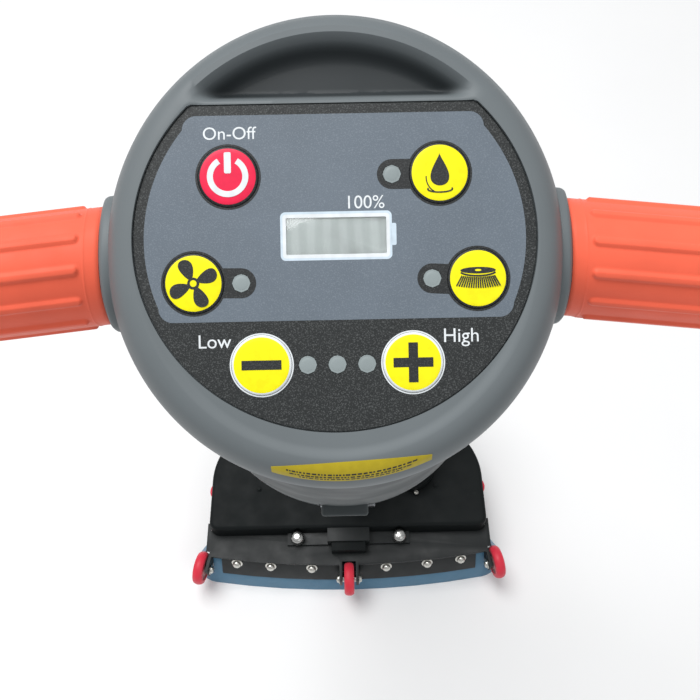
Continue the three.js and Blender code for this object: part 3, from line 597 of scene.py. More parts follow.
def holes_through(low, high):
    """Bars that cut the key, lamp and display openings."""
    cutters = [bar(KEY_RADIUS + 0.4, (u, v, low), (u, v, high), 64) for u, v in KEYS.values()]
    cutters += [bar(LENS_RADIUS + 0.25, (u, v, low), (u, v, high), 32) for u, v in LENSES]
    window = rounded_box(WINDOW["width"] - 1, WINDOW["height"] - 1, 1.2, WINDOW["centre"])
    return one("panel", *cutters, plate(window, low, high))


def bar_hole():
    reach = 120
    return one(
        "shell", bar(BAR_RADIUS + 0.6, (-reach, GRIP["v"], GRIP["w"]), (reach, GRIP["v"], GRIP["w"]))
    )


def head_shell():
    outside = [(82.9, SEAM_W)] + RIM
    angles = [2 * math.pi * i / HEAD_SIDES for i in range(HEAD_SIDES)]
    rings = []

    def on_ellipse(radius, w):
        shift = rim_shift(w)
        return [(HEAD_SQUASH * radius * math.cos(a), radius * math.sin(a) + shift, w) for a in angles]

    def sunk(ring):
        return [(u, v, w - SCOOP["depth"] * scoop_share(u, v)) for u, v, w in ring]

    for radius, w in outside:
        rings.append(sunk(on_ellipse(radius, w)))
    fill = 26
    rim_edge = on_ellipse(*outside[-1])
    for i in range(1, fill + 1):
        t = i / fill
        ring = []
        for u, v, _ in rim_edge:
            reach = panel_reach(math.atan2(v, u), 0.35)
            length = math.hypot(u, v)
            scale = (length + (reach - length) * t) / length
            u2, v2 = u * scale, v * scale
            ring.append((u2, v2, rim_height(rim_radius(u2, v2, 0))))
        rings.append(sunk(ring))
    edge = rings[-1]
    over_bed = rings[len(outside) :: 2]
    rings.append([(u, v, BED_W) for u, v, _ in edge])
    for share in (0.94, 0.5, 0.02):
        rings.append([(u * share, v * share, BED_W) for u, v, _ in edge])
    for share in (0.02, 0.5, 0.86):
        rings.append([(u * share, v * share, BED_W - 2.4) for u, v, _ in edge])
    for ring in over_bed[::-1]:
        rings.append([(u, v, min(w - 3, BED_W - 2.4)) for u, v, w in ring])
    for radius, w in ((71, -8), (75, -14), (78, -22), (79.9, -30), (80.2, SEAM_W)):
        rings.append([(u, v, w - 5 * scoop_share(u * 0.9, v * 0.9)) for u, v, _ in on_ellipse(radius, w)])
    return one("shell", loft(rings, loop=True))


shell = piece(
    "head_top_cover",
    head_shell(),
    HEAD,
    "column",
    replaces=["head_upper_shell"],
    cutters=[bar_hole(), holes_through(-6, 3)],
    angle=28,
)


def paint_scoop_shade(obj, place, depth):
    """Writes how deep in the scoop each corner lies, for the paint to darken as painted shade."""
    layer = obj.data.attributes.new("recess", "FLOAT", "POINT")
    back = place.inverted()
    for corner in obj.data.vertices:
        u, v, w = back @ corner.co
        share = scoop_share(u, v) if w > -depth - 3 else 0.0
        layer.data[corner.index].value = smoothstep(share, 0.08, 0.75)


# The recess attribute carries the scoop's painted shade.
paint_scoop_shade(shell, HEAD, SCOOP["depth"])


def lower_shell():
    """From the seam down to the tank's top, turning from the head's tilt to the column's lean."""
    sides = 192
    stations = [(82.9, SEAM_W - 0.3), (83.3, SEAM_W - 1.0), (82.9, -40.5), (82.2, -45), (79.5, -52)]
    back = MACHINE.inverted()

    def head_ring(radius, w, wall=0.0):
        ring = circle(radius - wall, w, sides, squash=HEAD_SQUASH)
        return [back @ (HEAD @ Vector(p)) for p in ring]

    def neck_ring(wall=0.0):
        return [back @ (COLUMN @ Vector(p)) for p in circle(79.5 - wall, COLUMN_TOP + 0.3, sides)]

    def skin(wall):
        rings = [head_ring(radius, w, wall) for radius, w in stations]
        base, neck = rings[-1], neck_ring(wall)
        before = rings[-2]
        way = 10
        for i in range(1, way + 1):
            t = i / way
            ring = []
            for start, prior, end in zip(base, before, neck):
                straight = start.lerp(end, t)
                pull = (start - prior) * (t * (1 - t) ** 3)
                ring.append(straight + pull)
            rings.append(ring)
        return rings

    outside, inside = skin(0.0), skin(3.0)
    return one("under", loft(outside + inside[::-1], loop=True))


def in_machine(shape, place):
    """A shape drawn in another frame, moved to the machine's."""
    change = MACHINE.inverted() @ place
    shape.points = [change @ point for point in shape.points]
    return shape


piece(
    "head_lower_cover",
    lower_shell(),
    MACHINE,
    "column",
    replaces=["head_lower_shell"],
    cutters=[in_machine(bar_hole(), HEAD)],
    angle=40,
)


# ------------------------------------------------------------------ care label on the rim
LABEL = {"edge": -70.6, "slope": 0.055, "radius": 77.1, "left": -21.8, "right": 29.6}


def on_rim(u, v, lift):
    """A point above the rim's outside, at a place in the head's frame."""
    w = 0.0
    for _ in range(4):
        w = rim_height(rim_radius(u, v, w))
    radius = rim_radius(u, v, w)
    fall = (rim_height(radius + 0.4) - rim_height(radius - 0.4)) / 0.8
    normal = Vector((-fall * u / radius, -fall * v / radius, 1)).normalized()
    return Vector((u, v, w)) + normal * lift


def rim_patch(paint, corners, lift, thick=0.12):
    """A thin patch that follows the rim, from a grid of (u, v) places."""
    rows, count = len(corners), len(corners[0])
    shape = Shape()
    top = [on_rim(u, v, lift) for row in corners for u, v in row]
    under = [on_rim(u, v, lift - thick) for row in corners for u, v in row]
    faces = []
    size = rows * count
    for i in range(rows - 1):
        for j in range(count - 1):
            a, b, c, d = i * count + j, i * count + j + 1, (i + 1) * count + j + 1, (i + 1) * count + j
            faces.append((a, b, c, d))
            faces.append((size + d, size + c, size + b, size + a))
    ring = [j for j in range(count)] + [i * count + count - 1 for i in range(1, rows)]
    ring += [
        (rows - 1) * count + j for j in range(count - 2, -1, -1)
    ] + [i * count for i in range(rows - 2, 0, -1)]
    for a, b in zip(ring, ring[1:] + ring[:1]):
        faces.append((b, a, size + a, size + b))
    shape.add(top + under, faces, paint)
    return shape


def label_edges(u):
    """The label's upper and lower edge at a place across it."""
    upper = LABEL["edge"] + LABEL["slope"] * u
    lower = -math.sqrt(LABEL["radius"] ** 2 - (u / HEAD_SQUASH) ** 2)
    return upper, min(lower, upper - 0.4)


def care_label():
    across, down = 48, 6
    grid = []
    for i in range(across + 1):
        u = LABEL["left"] + (LABEL["right"] - LABEL["left"]) * i / across
        upper, lower = label_edges(u)
        grid.append([(u, upper + (lower - upper) * j / down) for j in range(down + 1)])
    piece("care_label", rim_patch("label", grid, 0.16, 0.2), HEAD, "column", angle=60)


def label_marks():
    """Rows of plain dashes, where a label would carry its lines of print."""
    rng = random.Random(4)
    shape = Shape()
    for gap, height, start, reach in ((0.5, 0.3, -13, 20), (1.15, 0.34, -16, 23), (1.95, 0.5, -17, 24)):
        u = float(start)
        while u < reach:
            width = rng.uniform(0.4, 1.5)
            grid = []
            for i in range(4):
                here = u + width * i / 3
                low = -math.sqrt((LABEL["radius"] - gap) ** 2 - (here / HEAD_SQUASH) ** 2)
                grid.append([(here, low + height), (here, low)])
            if grid[0][0][1] < label_edges(u)[0] - 0.5 and grid[-1][0][1] < label_edges(u + width)[0] - 0.5:
                patch = rim_patch("ink_black", grid, 0.2, 0.12)
                shape.add(patch.points, patch.faces, "ink_black")
            u += width + rng.uniform(0.3, 0.6)
    piece("care_label_marks", shape, HEAD, "column", angle=60)


care_label()
label_marks()


# ------------------------------------------------------------------ panel film and its print
SLATE = {"side": 60.6, "top": 39.8, "bottom": -25.6, "corner": 4.5}
PRINT_LIFT = 0.05


def slate_outline():
    """The paler field: the panel's outline moved in, with a level lower edge and rounded corners."""
    a, b = SLATE["side"], PANEL["b"] - 3.4

    def side_at(v):
        return a * math.sqrt(max(0.0, 1 - (v / b) ** 2))

    top, bottom, corner = SLATE["top"], SLATE["bottom"], SLATE["corner"]
    right = []
    steps = 8
    for i in range(steps + 1):
        t = i / steps
        edge = side_at(bottom + corner)
        right.append(
            (
                edge - corner * (1 - math.sin(t * math.pi / 2)),
                bottom + corner * (1 - math.cos(t * math.pi / 2)),
            )
        )
    body = 40
    for i in range(1, body):
        v = bottom + corner + (top - bottom - 2 * corner) * i / body
        right.append((side_at(v), v))
    for i in range(steps + 1):
        t = i / steps
        edge = side_at(top - corner)
        right.append(
            (
                edge - corner * (1 - math.cos(t * math.pi / 2)),
                top - corner * (1 - math.sin(t * math.pi / 2)),
            )
        )
    return right + [(-u, v) for u, v in reversed(right)]


def capsule(key, lens, key_radius=10.4, end_radius=4.75):
    """The black field that joins a key to its lamp."""
    (ku, kv), (lu, lv) = key, lens
    side = 1 if lu > ku else -1
    reach = math.sqrt(key_radius**2 - end_radius**2)
    out = []
    start = math.atan2(end_radius, reach)
    for i in range(41):
        angle = start + (2 * math.pi - 2 * start) * i / 40
        out.append((ku + side * key_radius * math.cos(angle), kv + key_radius * math.sin(angle)))
    for i in range(17):
        angle = -math.pi / 2 + math.pi * i / 16
        out.append((lu + side * end_radius * math.cos(angle), lv + end_radius * math.sin(angle)))
    return out if side > 0 else out[::-1]


def layer(outline, level, paint):
    """One printed layer, a few hundredths thick, above those under it."""
    top = PRINT_LIFT * level
    points, faces = plate(outline, top - PRINT_LIFT * 0.8, top)
    return paint, points, faces


def lettering(text, size, centre, level, paint="ink_white"):
    """Generic wording in a plain sans face."""
    curve = bpy.data.curves.new("text", "FONT")
    curve.body = text
    curve.size = size
    curve.align_x = "CENTER"
    curve.align_y = "CENTER"
    curve.extrude = 0.02
    curve.resolution_u = 6
    obj = bpy.data.objects.new("text", curve)
    bpy.context.scene.collection.objects.link(obj)
    mesh = bpy.data.meshes.new_from_object(obj.evaluated_get(bpy.context.evaluated_depsgraph_get()))
    z = PRINT_LIFT * level
    points = [(v.co.x + centre[0], v.co.y + centre[1], v.co.z + z) for v in mesh.vertices]
    faces = [tuple(p.vertices) for p in mesh.polygons]
    bpy.data.objects.remove(obj)
    return paint, points, faces


def ring(outer, inner, level, paint):
    """A printed band between two outlines with the same number of corners."""
    top = PRINT_LIFT * level
    low = top - PRINT_LIFT * 0.8
    rings = [
        [(x, y, z) for x, y in outline]
        for outline, z in ((outer, low), (outer, top), (inner, top), (inner, low))
    ]
    points, faces = loft(rings, loop=True)
    return paint, points, faces


def film_holes():
    openings = [bar(KEY_RADIUS + 0.12, (u, v, -4), (u, v, 4), 96) for u, v in KEYS.values()]
    openings += [bar(LENS_RADIUS + 0.02, (u, v, -4), (u, v, 4), 40) for u, v in LENSES]
    window = rounded_box(WINDOW["width"] - 0.4, WINDOW["height"] - 0.4, 1.0, WINDOW["centre"])
    return one("panel", *openings, plate(window, -4, 4))


def panel_film():
    shape = Shape()
    points, faces = plate(panel_outline(), -PANEL["thick"], 0, 0.15, 1)
    shape.add(points, faces, "panel")
    piece("panel_film", shape, HEAD, "column", replaces=["panel_overlay"], cutters=[film_holes()], angle=40)


def panel_print():
    holes = film_holes()
    fields = {
        "slate_field": [layer(slate_outline(), 1, "slate")],
        "key_fields": [
            layer(capsule(KEYS["water"], LENSES[0]), 2, "ink_black"),
            layer(capsule(KEYS["fan"], LENSES[1]), 2, "ink_black"),
            layer(capsule(KEYS["brush"], LENSES[2]), 2, "ink_black"),
            layer(disc(10.4, KEYS["power"], 64), 2, "ink_black"),
            layer(disc(10.15, KEYS["minus"], 96), 1, "ink_white"),
            layer(disc(10.15, KEYS["plus"], 96), 1, "ink_white"),
        ],
    }
    for name, layers in fields.items():
        shape = Shape()
        for paint, points, faces in layers:
            shape.add(points, faces, paint)
        piece(name, shape, HEAD, "column", cutters=[holes], angle=40)
    cu, cv = WINDOW["centre"]
    outer = rounded_box(35.4, 15.4, 1.6, (cu, cv))
    middle = rounded_box(34.0, 13.9, 1.0, (cu, cv))
    inner = rounded_box(31.8, 11.6, 0.4, (cu, cv))
    nub = rounded_box(1.6, 7.0, 0.5, (cu + 18.3, cv + 0.2))
    gauge = Shape()
    for paint, points, faces in (
        ring(outer, middle, 2, "ink_frame"),
        ring(middle, inner, 2, "ink_white"),
        layer(nub, 2, "ink_frame"),
        lettering("On-Off", 5.7, (-33.0, 33.9), 2),
        lettering("100%", 5.9, (9.6, 11.4), 2),
        lettering("Low", 6.1, (-38.9, -32.0), 1),
        lettering("High", 6.3, (39.4, -31.4), 1),
    ):
        gauge.add(points, faces, paint)
    piece("panel_marks", gauge, HEAD, "column", angle=60)


def display():
    cu, cv = WINDOW["centre"]
    face = one("display", plate(rounded_box(32.0, 11.8, 0.4, (cu, cv)), -1.6, -0.5, 0.1))
    piece("display_face", face, HEAD, "column")
    pane = one(
        "window",
        plate(rounded_box(WINDOW["width"] - 0.8, WINDOW["height"] - 0.8, 0.9, (cu, cv)), -0.3, 0.03, 0.03),
    )
    piece("display_pane", pane, HEAD, "column", replaces=["display_window"])


def lamps():
    shape = Shape()
    profile = [
        (0, -3), (LENS_RADIUS - 0.1, -3), (LENS_RADIUS - 0.1, 0.0), (2.4, 0.14), (1.2, 0.22), (0, 0.24)
    ]
    for u, v in LENSES:
        points, faces = turned(profile, 40)
        shape.add(points, faces, "lens", Matrix.Translation((u, v, 0)))
    piece("indicator_lenses", shape, HEAD, "column", angle=40)


panel_film()
panel_print()
display()
lamps()


# ------------------------------------------------------------------ keys and their icons
CAP_TOP = 1.0


def band(points, width):
    """The outline of a line of even width through the points."""
    left, right = [], []
    for i, (x, y) in enumerate(points):
        before = Vector(points[max(0, i - 1)])
        after = Vector(points[min(len(points) - 1, i + 1)])
        way = (after - before).normalized()
        across = Vector((-way.y, way.x)) * width / 2
        left.append((x + across.x, y + across.y))
        right.append((x - across.x, y - across.y))
    return right + left[::-1]


def arc_points(radius, start, end, steps=36, centre=(0, 0), squash=1.0):
    out = []
    for i in range(steps + 1):
        angle = math.radians(start + (end - start) * i / steps)
        out.append((centre[0] + radius * math.cos(angle), centre[1] + squash * radius * math.sin(angle)))
    return out


def power_icon():
    stem = rounded_box(2.2, 6.7, 0.5, (0, 4.3))
    return [("ink_white", band(arc_points(5.6, 120, 420), 1.9)), ("ink_white", stem)]


def water_icon():
    drop = []
    for i in range(49):
        angle = 2 * math.pi * i / 48
        narrow = math.sin(angle / 2) ** 1.6
        drop.append((4.3 * math.sin(angle) * narrow, 1.0 + 5.1 * math.cos(angle)))
    drop.reverse()
    gleam = band(arc_points(4.6, 176, 250, 16, (0.25, -1.4), 1.1), 0.35)
    ripple = band(arc_points(3.9, -200, 20, 24, (0, -5.2), 0.25), 0.45)
    return [("ink_black", drop), ("ink_black", gleam), ("ink_black", ripple)]


def fan_icon():
    marks = []
    for quarter in range(4):
        turn = math.pi / 2 * quarter + 0.25
        blade = []
        for i in range(40):
            t = 2 * math.pi * i / 40
            along = 4.6 + 3.4 * math.cos(t)
            across = 0.7 + (1.2 + 1.75 * (along - 1.2) / 6.8) * math.sin(t) + 0.12 * (along - 3)
            blade.append(
                (
                    along * math.cos(turn) - across * math.sin(turn),
                    along * math.sin(turn) + across * math.cos(turn),
                )
            )
        marks.append(("ink_black", blade))
    marks.append(("ink_black", disc(1.9)))
    marks.append(("key_yellow", disc(1.05)))
    return marks


def brush_icon():
    plate_top = [
        (5.6 * math.cos(a), 2.5 + 1.05 * math.sin(a)) for a in (2 * math.pi * i / 48 for i in range(48))
    ]
    marks = [
        ("ink_black", plate_top),
        ("key_yellow", [(x * 0.18, 2.55 + (y - 2.5) * 0.32) for x, y in plate_top]),
    ]
    skirt = arc_points(5.7, 196, 344, 24, (0, 2.3), 0.27)
    marks.append(("ink_black", band(skirt, 0.55)))
    count = 19
    for i in range(count):
        t = 2 * i / (count - 1) - 1
        top, foot = (5.1 * t, 0.35 + 0.5 * t * t), (6.9 * t, -3.1 + 0.7 * t * t)
        marks.append(("ink_black", band([top, foot], 0.42)))
    return marks


def minus_icon():
    return [("ink_black", rounded_box(12.6, 3.0, 0.1, (0, 0)))]


def plus_icon():
    return minus_icon() + [("ink_black", rounded_box(3.0, 12.6, 0.1, (0, 0)))]


ICONS = {
    "power": power_icon,
    "water": water_icon,
    "fan": fan_icon,
    "brush": brush_icon,
    "minus": minus_icon,
    "plus": plus_icon,
}


def key(name, place):
    paint = "key_red" if name == "power" else "key_yellow"
    edge = {"power": "ink_black", "minus": "ink_white", "plus": "ink_white"}.get(name, "ink_black")
    shape = Shape()
    cap = [(0, -4), (9.2, -4), (KEY_RADIUS, -3.6), (KEY_RADIUS, 0.15), (9.5, 0.4), (9.25, 0.6), (8.9, 0.72)]
    rings = [circle(r, z, 96) for r, z in cap if r > 0]
    points, faces = loft(rings)
    shape.add(points, faces, edge)
    crown = [
        (8.85, 0.6), (8.85, 0.76), (8.6, 0.84), (7.6, 0.92), (5, CAP_TOP - 0.02), (2, CAP_TOP),
        (0.2, CAP_TOP),
    ]
    points, faces = loft([circle(r, z, 96) for r, z in crown])
    shape.add(points, faces, paint)
    for level, (ink, outline) in enumerate(ICONS[name]()):
        top = CAP_TOP + 0.05 + 0.012 * level
        points, faces = plate(outline, CAP_TOP - 0.2, top)
        shape.add(points, faces, ink)
    place = HEAD @ Matrix.Translation((place[0], place[1], 0))
    cap_piece = piece(f"key_{name}_cap", shape, place, f"key_{name}", replaces=[f"key_{name}"], angle=40)


for key_name, key_place in KEYS.items():
    key(key_name, key_place)


# ------------------------------------------------------------------ handlebar, collars and grips
RIBS = {"count": 12, "height": 1.1, "share": 0.3, "lead": 6.5, "end": 116.0}
COLLAR = {"radius": 24.3, "thick": 3.0}
LOWER_SIDE = [(83.4, SEAM_W), (82.2, -45), (79.5, -52), (79.5, -90)]
SEAM_RIDGE = 4.9


def grip_frame(side):
    """Z along the grip from its root, with X as near as may be out of the panel."""
    flat = math.cos(GRIP_RISE)
    way = Vector((side * flat * math.cos(GRIP_SWEEP), -flat * math.sin(GRIP_SWEEP), math.sin(GRIP_RISE)))
    root = Vector((side * GRIP["root"], GRIP["v"], GRIP["w"]))
    x = (Vector((0, 0, 1)) - way * way.z).normalized()
    y = way.cross(x)
    turn = Matrix((x, y, way)).transposed().to_4x4()
    return Matrix.Translation(root) @ turn


def side_radius(w):
    """The head's half width at a height, as the radius of its ring there."""
    profile = LOWER_SIDE[::-1] + RIM
    for (r0, w0), (r1, w1) in zip(profile, profile[1:]):
        if w0 <= w <= w1:
            return r0 + (r1 - r0) * (w - w0) / max(1e-6, w1 - w0)
    return profile[0][0] if w < profile[0][1] else profile[-1][0]


def leaves_head(place, radius, angle, grow):
    """How far along a grip a line on its surface comes out of the head, grown by a small amount."""
    low, high = -30.0, 30.0
    for _ in range(24):
        s = (low + high) / 2
        u, v, w = place @ Vector((radius * math.cos(angle), radius * math.sin(angle), s))
        if rim_radius(u, v, w) < side_radius(w) + grow:
            low = s
        else:
            high = s
    return high


def rib_height(angle, s, start):
    """The raised bars of the grip: even round it, rounded at their ends."""
    pitch = 2 * math.pi / RIBS["count"]
    offset = abs((angle / pitch + 0.5) % 1 - 0.5) / (RIBS["share"] / 2)
    radius = GRIP["radius"] * pitch * RIBS["share"] / 2
    beyond = max(0.0, start + radius - s, s - RIBS["end"] + radius) / radius
    return RIBS["height"] * (1 - smoothstep(math.hypot(offset, beyond), 0.55, 1.15))


def grip(name, side):
    """A moulded sleeve whose inner end follows the collar, with ribs that stop short of it."""
    around = 240
    end = GRIP["start"] + GRIP["length"]
    place = grip_frame(side)
    angles = [2 * math.pi * i / around for i in range(around)]
    starts = [leaves_head(place, GRIP["radius"], a, COLLAR["thick"] + 0.35) for a in angles]
    near = [0, 0.35, 0.8, 1.6, 2.6, 3.8, 4.45, 4.7, SEAM_RIDGE, 5.1, 5.35]
    near += [5.6 + 0.45 * i for i in range(12)]
    far = [i / 60 for i in range(1, 61)]
    rings = []

    def radius_at(angle, s, from_edge):
        swell = GRIP["radius"] - 0.05 - 0.9 * s / GRIP["length"]
        edge = -0.5 * (1 - smoothstep(from_edge, 0, 0.9))
        ridge = 0.16 * math.exp(-(((from_edge - SEAM_RIDGE) / 0.22) ** 2))
        lead = s - from_edge + RIBS["lead"]
        return swell + edge + ridge + rib_height(angle + math.pi / RIBS["count"] * 0.6, s, lead)

    last_near = near[-1]
    for step in near:
        ring_points = []
        for angle, start in zip(angles, starts):
            radius = radius_at(angle, start + step, step)
            ring_points.append((radius * math.cos(angle), radius * math.sin(angle), start + step))
        rings.append(ring_points)
    for t in far:
        ring_points = []
        for angle, start in zip(angles, starts):
            s = start + last_near + (end - 8 - start - last_near) * t
            radius = radius_at(angle, s, s - start)
            ring_points.append((radius * math.cos(angle), radius * math.sin(angle), s))
        rings.append(ring_points)
    for i in range(1, 13):
        angle = math.pi / 2 * i / 12.4
        share = math.cos(angle) ** 0.55
        rings.append(
            [(x * share, y * share, end - 8 + 8.4 * math.sin(angle)) for x, y, _ in rings[len(near) + 59]]
        )
    inner = BAR_RADIUS + 0.4
    rings.append(circle(0.5, end - 3, around))
    rings.append(circle(inner, end - 4, around))
    rings.append([(inner * math.cos(a), inner * math.sin(a), s) for a, s in zip(angles, starts)])
    shape = one("coral", loft(rings, loop=True))
    piece(f"grip_{name}_sleeve", shape, HEAD @ place, "column", replaces=[f"grip_{name}"], angle=50)


def collar(name, side):
    """A raised pad round the bar that follows the head's side, with a rounded outer edge."""
    around = 120
    place = grip_frame(side)
    angles = [2 * math.pi * i / around for i in range(around)]
    inner = BAR_RADIUS + 0.4
    edge = COLLAR["radius"]

    def ring_at(radius, grow):
        return [
            (
                radius * math.cos(a), radius * math.sin(a), leaves_head(place, radius, a, grow)
            ) for a in angles
        ]

    thick = COLLAR["thick"]
    stations = [(inner, -1.5), (edge, -1.5), (edge, 0.5), (edge, thick - 1.3), (edge - 0.2, thick - 0.7)]
    stations += [
        (edge - 0.6, thick - 0.25), (edge - 1.3, thick), (edge - 2.4, thick + 0.1), (inner, thick + 0.1)
    ]
    shape = one("shell", loft([ring_at(radius, grow) for radius, grow in stations], loop=True))
    piece(f"collar_{name}_ring", shape, HEAD @ place, "column", replaces=[f"collar_{name}"], angle=50)


for side_name, side_sign in SIDES.items():
    grip(side_name, side_sign)
    collar(side_name, side_sign)


# ------------------------------------------------------------------ column
TANK_SIDE = [
    (85.4, 681), (85.1, 688), (84.6, 700), (83.6, 722), (82.6, 745), (80.6, 795), (79.9, 820), (79.5, 833.2)
]
FILLER = {"s": 790.0, "reach": 102.0, "radius": 24.0, "bore": 19.0}
LATCH = {"width": 29.0, "outer": -90.5, "low": 682.0, "high": 691.0}
WALL = 3.0
# The filler lies level, so its frame turns back against the column's lean. Its Z runs out along +Y.
FILLER_FRAME = (
    COLUMN
    @ Matrix.Translation((0, 0, FILLER["s"]))
    @ Matrix.Rotation(-LEAN, 4, "X")
    @ Matrix.Rotation(-math.pi / 2, 4, "X")
)


def tank():
    bottom, top = TANK_SIDE[0][1], TANK_SIDE[-1][1]
    outer = [(0.3, bottom), (83.4, bottom), (84.9, bottom + 0.6)] + TANK_SIDE[1:] + [(76, top)]
    inner = [(76, top - WALL)] + [(r - WALL, min(s, top - WALL)) for r, s in reversed(TANK_SIDE[1:])]
    rings = outer + [(0.3, top)]
    body = Shape()
    body.add(*loft([circle(r, s, 128) for r, s in rings]), "tank")
    cavity = one(
        "tank",
        loft(
            [
                circle(r, s, 96)
                for r, s in [(0.3, bottom + WALL), (81, bottom + WALL)] + inner[:0:-1] + [(0.3, top - WALL)]
            ]
        ),
    )
    slot = one(
        "tank",
        block((-LATCH["width"] / 2 - 1, -92, bottom - 2), (LATCH["width"] / 2 + 1, -76.5, bottom + 11)),
    )
    piece(
        "water_tank", body, COLUMN, "column", replaces=["solution_tank"],
        cutters=[cavity, slot, filler_bore()], angle=35,
    )
    neck = [
        (FILLER["bore"], 60), (FILLER["radius"] - 1, 60), (FILLER["radius"], 66), (FILLER["radius"], 84)
    ]
    neck += [
        (FILLER["radius"] + 1.6, 85), (FILLER["radius"] + 1.6, 88), (FILLER["radius"], 89),
        (FILLER["radius"], 101),
    ]
    neck += [(FILLER["radius"] - 1, 102), (FILLER["bore"], 102), (FILLER["bore"], 60)]
    piece("filler_neck", one("tank", turned(neck, 96)), FILLER_FRAME, "column", angle=40)


def filler_bore():
    """The way from the filler into the tank, drawn in the column's frame."""
    change = COLUMN.inverted() @ FILLER_FRAME
    shape = one("tank", bar(FILLER["bore"], (0, 0, 40), (0, 0, 100), 64))
    shape.points = [change @ point for point in shape.points]
    return shape


def filler_cap():
    """A flip cap: a ribbed disc with a knuckle above and a thumb lip below."""
    radius, reach = FILLER["radius"] + 1, FILLER["reach"]
    profile = rounded(
        [
            (0.3, reach + 0.3), (radius, reach + 0.3), (radius, reach + 6), (radius - 6, reach + 6),
            (radius - 8, reach + 4.6), (0.3, reach + 4.6),
        ],
        0.9,
    )
    shape = Shape()
    shape.add(*loft([circle(r, z, 96) for r, z in profile]), "cap")
    for i in range(36):
        angle = 2 * math.pi * i / 36
        centre = (radius * math.cos(angle), radius * math.sin(angle))
        shape.add(*plate(disc(0.9, centre, 10), reach + 1, reach + 5.2, 0.3, 1), "cap")
    # In the filler's frame -Y points up, so the knuckle lies at -Y and the lip at +Y.
    shape.add(*bar(3.5, (-9, -radius - 2.5, reach + 3.8), (9, -radius - 2.5, reach + 3.8)), "cap")
    shape.add(*plate(rounded_box(18, 7, 1.5, (0, -radius + 0.8)), reach + 0.6, reach + 6, 0.6), "cap")
    shape.add(*plate(rounded_box(18, 8, 2.5, (0, radius - 1.2)), reach + 1, reach + 11, 1.2), "cap")
    piece("flip_cap", shape, FILLER_FRAME, "filler_cap", replaces=["filler_cap"], angle=35)


def tank_base():
    floor = COLUMN_BOTTOM - 0.3
    profile = [
        (30.4, floor - 8.5), (30.4, floor - 45), (36, floor - 45), (38, floor - 42), (38, floor - 20)
    ]
    profile += [
        (42, floor - 16.5), (58, floor - 13), (80, floor - 9.6), (84.4, floor - 7), (85.3, floor - 3.5),
        (85.2, floor),
    ]
    shape = Shape()
    outside = rounded(profile, 3.0, 4)
    shape.add(
        *loft([circle(r, s, 128) for r, s in [(0.3, floor - 8.5)] + outside + [(0.3, floor)]]), "tank"
    )
    for i in range(8):
        turn = Matrix.Rotation(2 * math.pi * (i + 0.5) / 8, 4, "Z")
        rib = [(36, floor - 40), (38, floor - 40), (76, floor - 11.5), (76, floor - 8), (36, floor - 8)]
        shape.add(*loft([[(x, y, z) for x, z in rib] for y in (-1.4, 1.4)]), "tank", turn)
    piece("tank_socket", shape, COLUMN, "column", replaces=["tank_base"], angle=35)
    band_ring = turned(
        rounded(
            [
                (37.6, floor - 31), (39.6, floor - 31), (39.6, floor - 25), (37.6, floor - 25),
                (37.6, floor - 31),
            ],
            0.5,
        )[:-1] + [(37.6, floor - 31)],
        64,
    )
    piece("mast_clamp_band", one("steel", band_ring), COLUMN, "column", angle=40)


def tank_latch():
    width, outer = LATCH["width"], LATCH["outer"]
    face = rounded_box(
        width - 1, LATCH["high"] - LATCH["low"] - 0.4, 2.6, (0, (LATCH["low"] + LATCH["high"]) / 2)
    )
    along = Matrix(((1, 0, 0, 0), (0, 0, -1, 0), (0, 1, 0, 0), (0, 0, 0, 1)))
    shape = Shape()
    shape.add(*plate(face, 83.2, -outer, 1.6, 4), "tank", along)
    for i in range(3):
        rib = rounded_box(width - 9, 0.9, 0.4, (0, LATCH["low"] + 2.4 + 2.1 * i))
        shape.add(*plate(rib, -outer - 0.6, -outer + 0.0, 0.2, 1), "tank", along)
    piece("latch_tab", shape, COLUMN, "tank_latch", replaces=["tank_latch"], angle=40)


def mast():
    top = COLUMN_BOTTOM - 10
    profile = [(27, 92), (30, 92), (30, top), (27, top), (27, 92)]
    piece("mast_pipe", one("mast", turned(profile, 96)), COLUMN, "column", replaces=["mast_tube"], angle=40)


tank()
filler_cap()
tank_base()
tank_latch()
mast()


# ------------------------------------------------------------------ pieces refined from the CAD's own shapes
def refined(node, name, body, paint, bevel=0.8, angle=28):
    """The node's own shape with its flat facets merged and its edges rounded."""
    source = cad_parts[node]
    obj = bpy.data.objects.new(name, source.data.copy())
    bpy.context.scene.collection.objects.link(obj)
    obj.data.materials.clear()
    obj.data.materials.append(M[paint])
    work = bmesh.new()
    work.from_mesh(obj.data)
    bmesh.ops.remove_doubles(work, verts=work.verts, dist=2e-6)
    bmesh.ops.dissolve_limit(work, angle_limit=math.radians(1.5), verts=work.verts, edges=work.edges)
    for face in work.faces:
        face.material_index = 0
    work.to_mesh(obj.data)
    work.free()
    edge = obj.modifiers.new("edges", "BEVEL")
    edge.width = bevel / 1000
    edge.segments = 3
    edge.limit_method = "ANGLE"
    edge.angle_limit = math.radians(angle)
    edge.use_clamp_overlap = True
    apply_modifiers(obj)
    tidy(obj.data, angle)
    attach(obj, body)
    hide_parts(node)
    return obj


refined("mast_fork", "fork", "column", "cast", 1.2)
refined("swivel_block", "swivel_cross", "swivel", "cast", 1.4)
refined("pivot_bracket", "swivel_bracket", "base", "cast", 1.2)


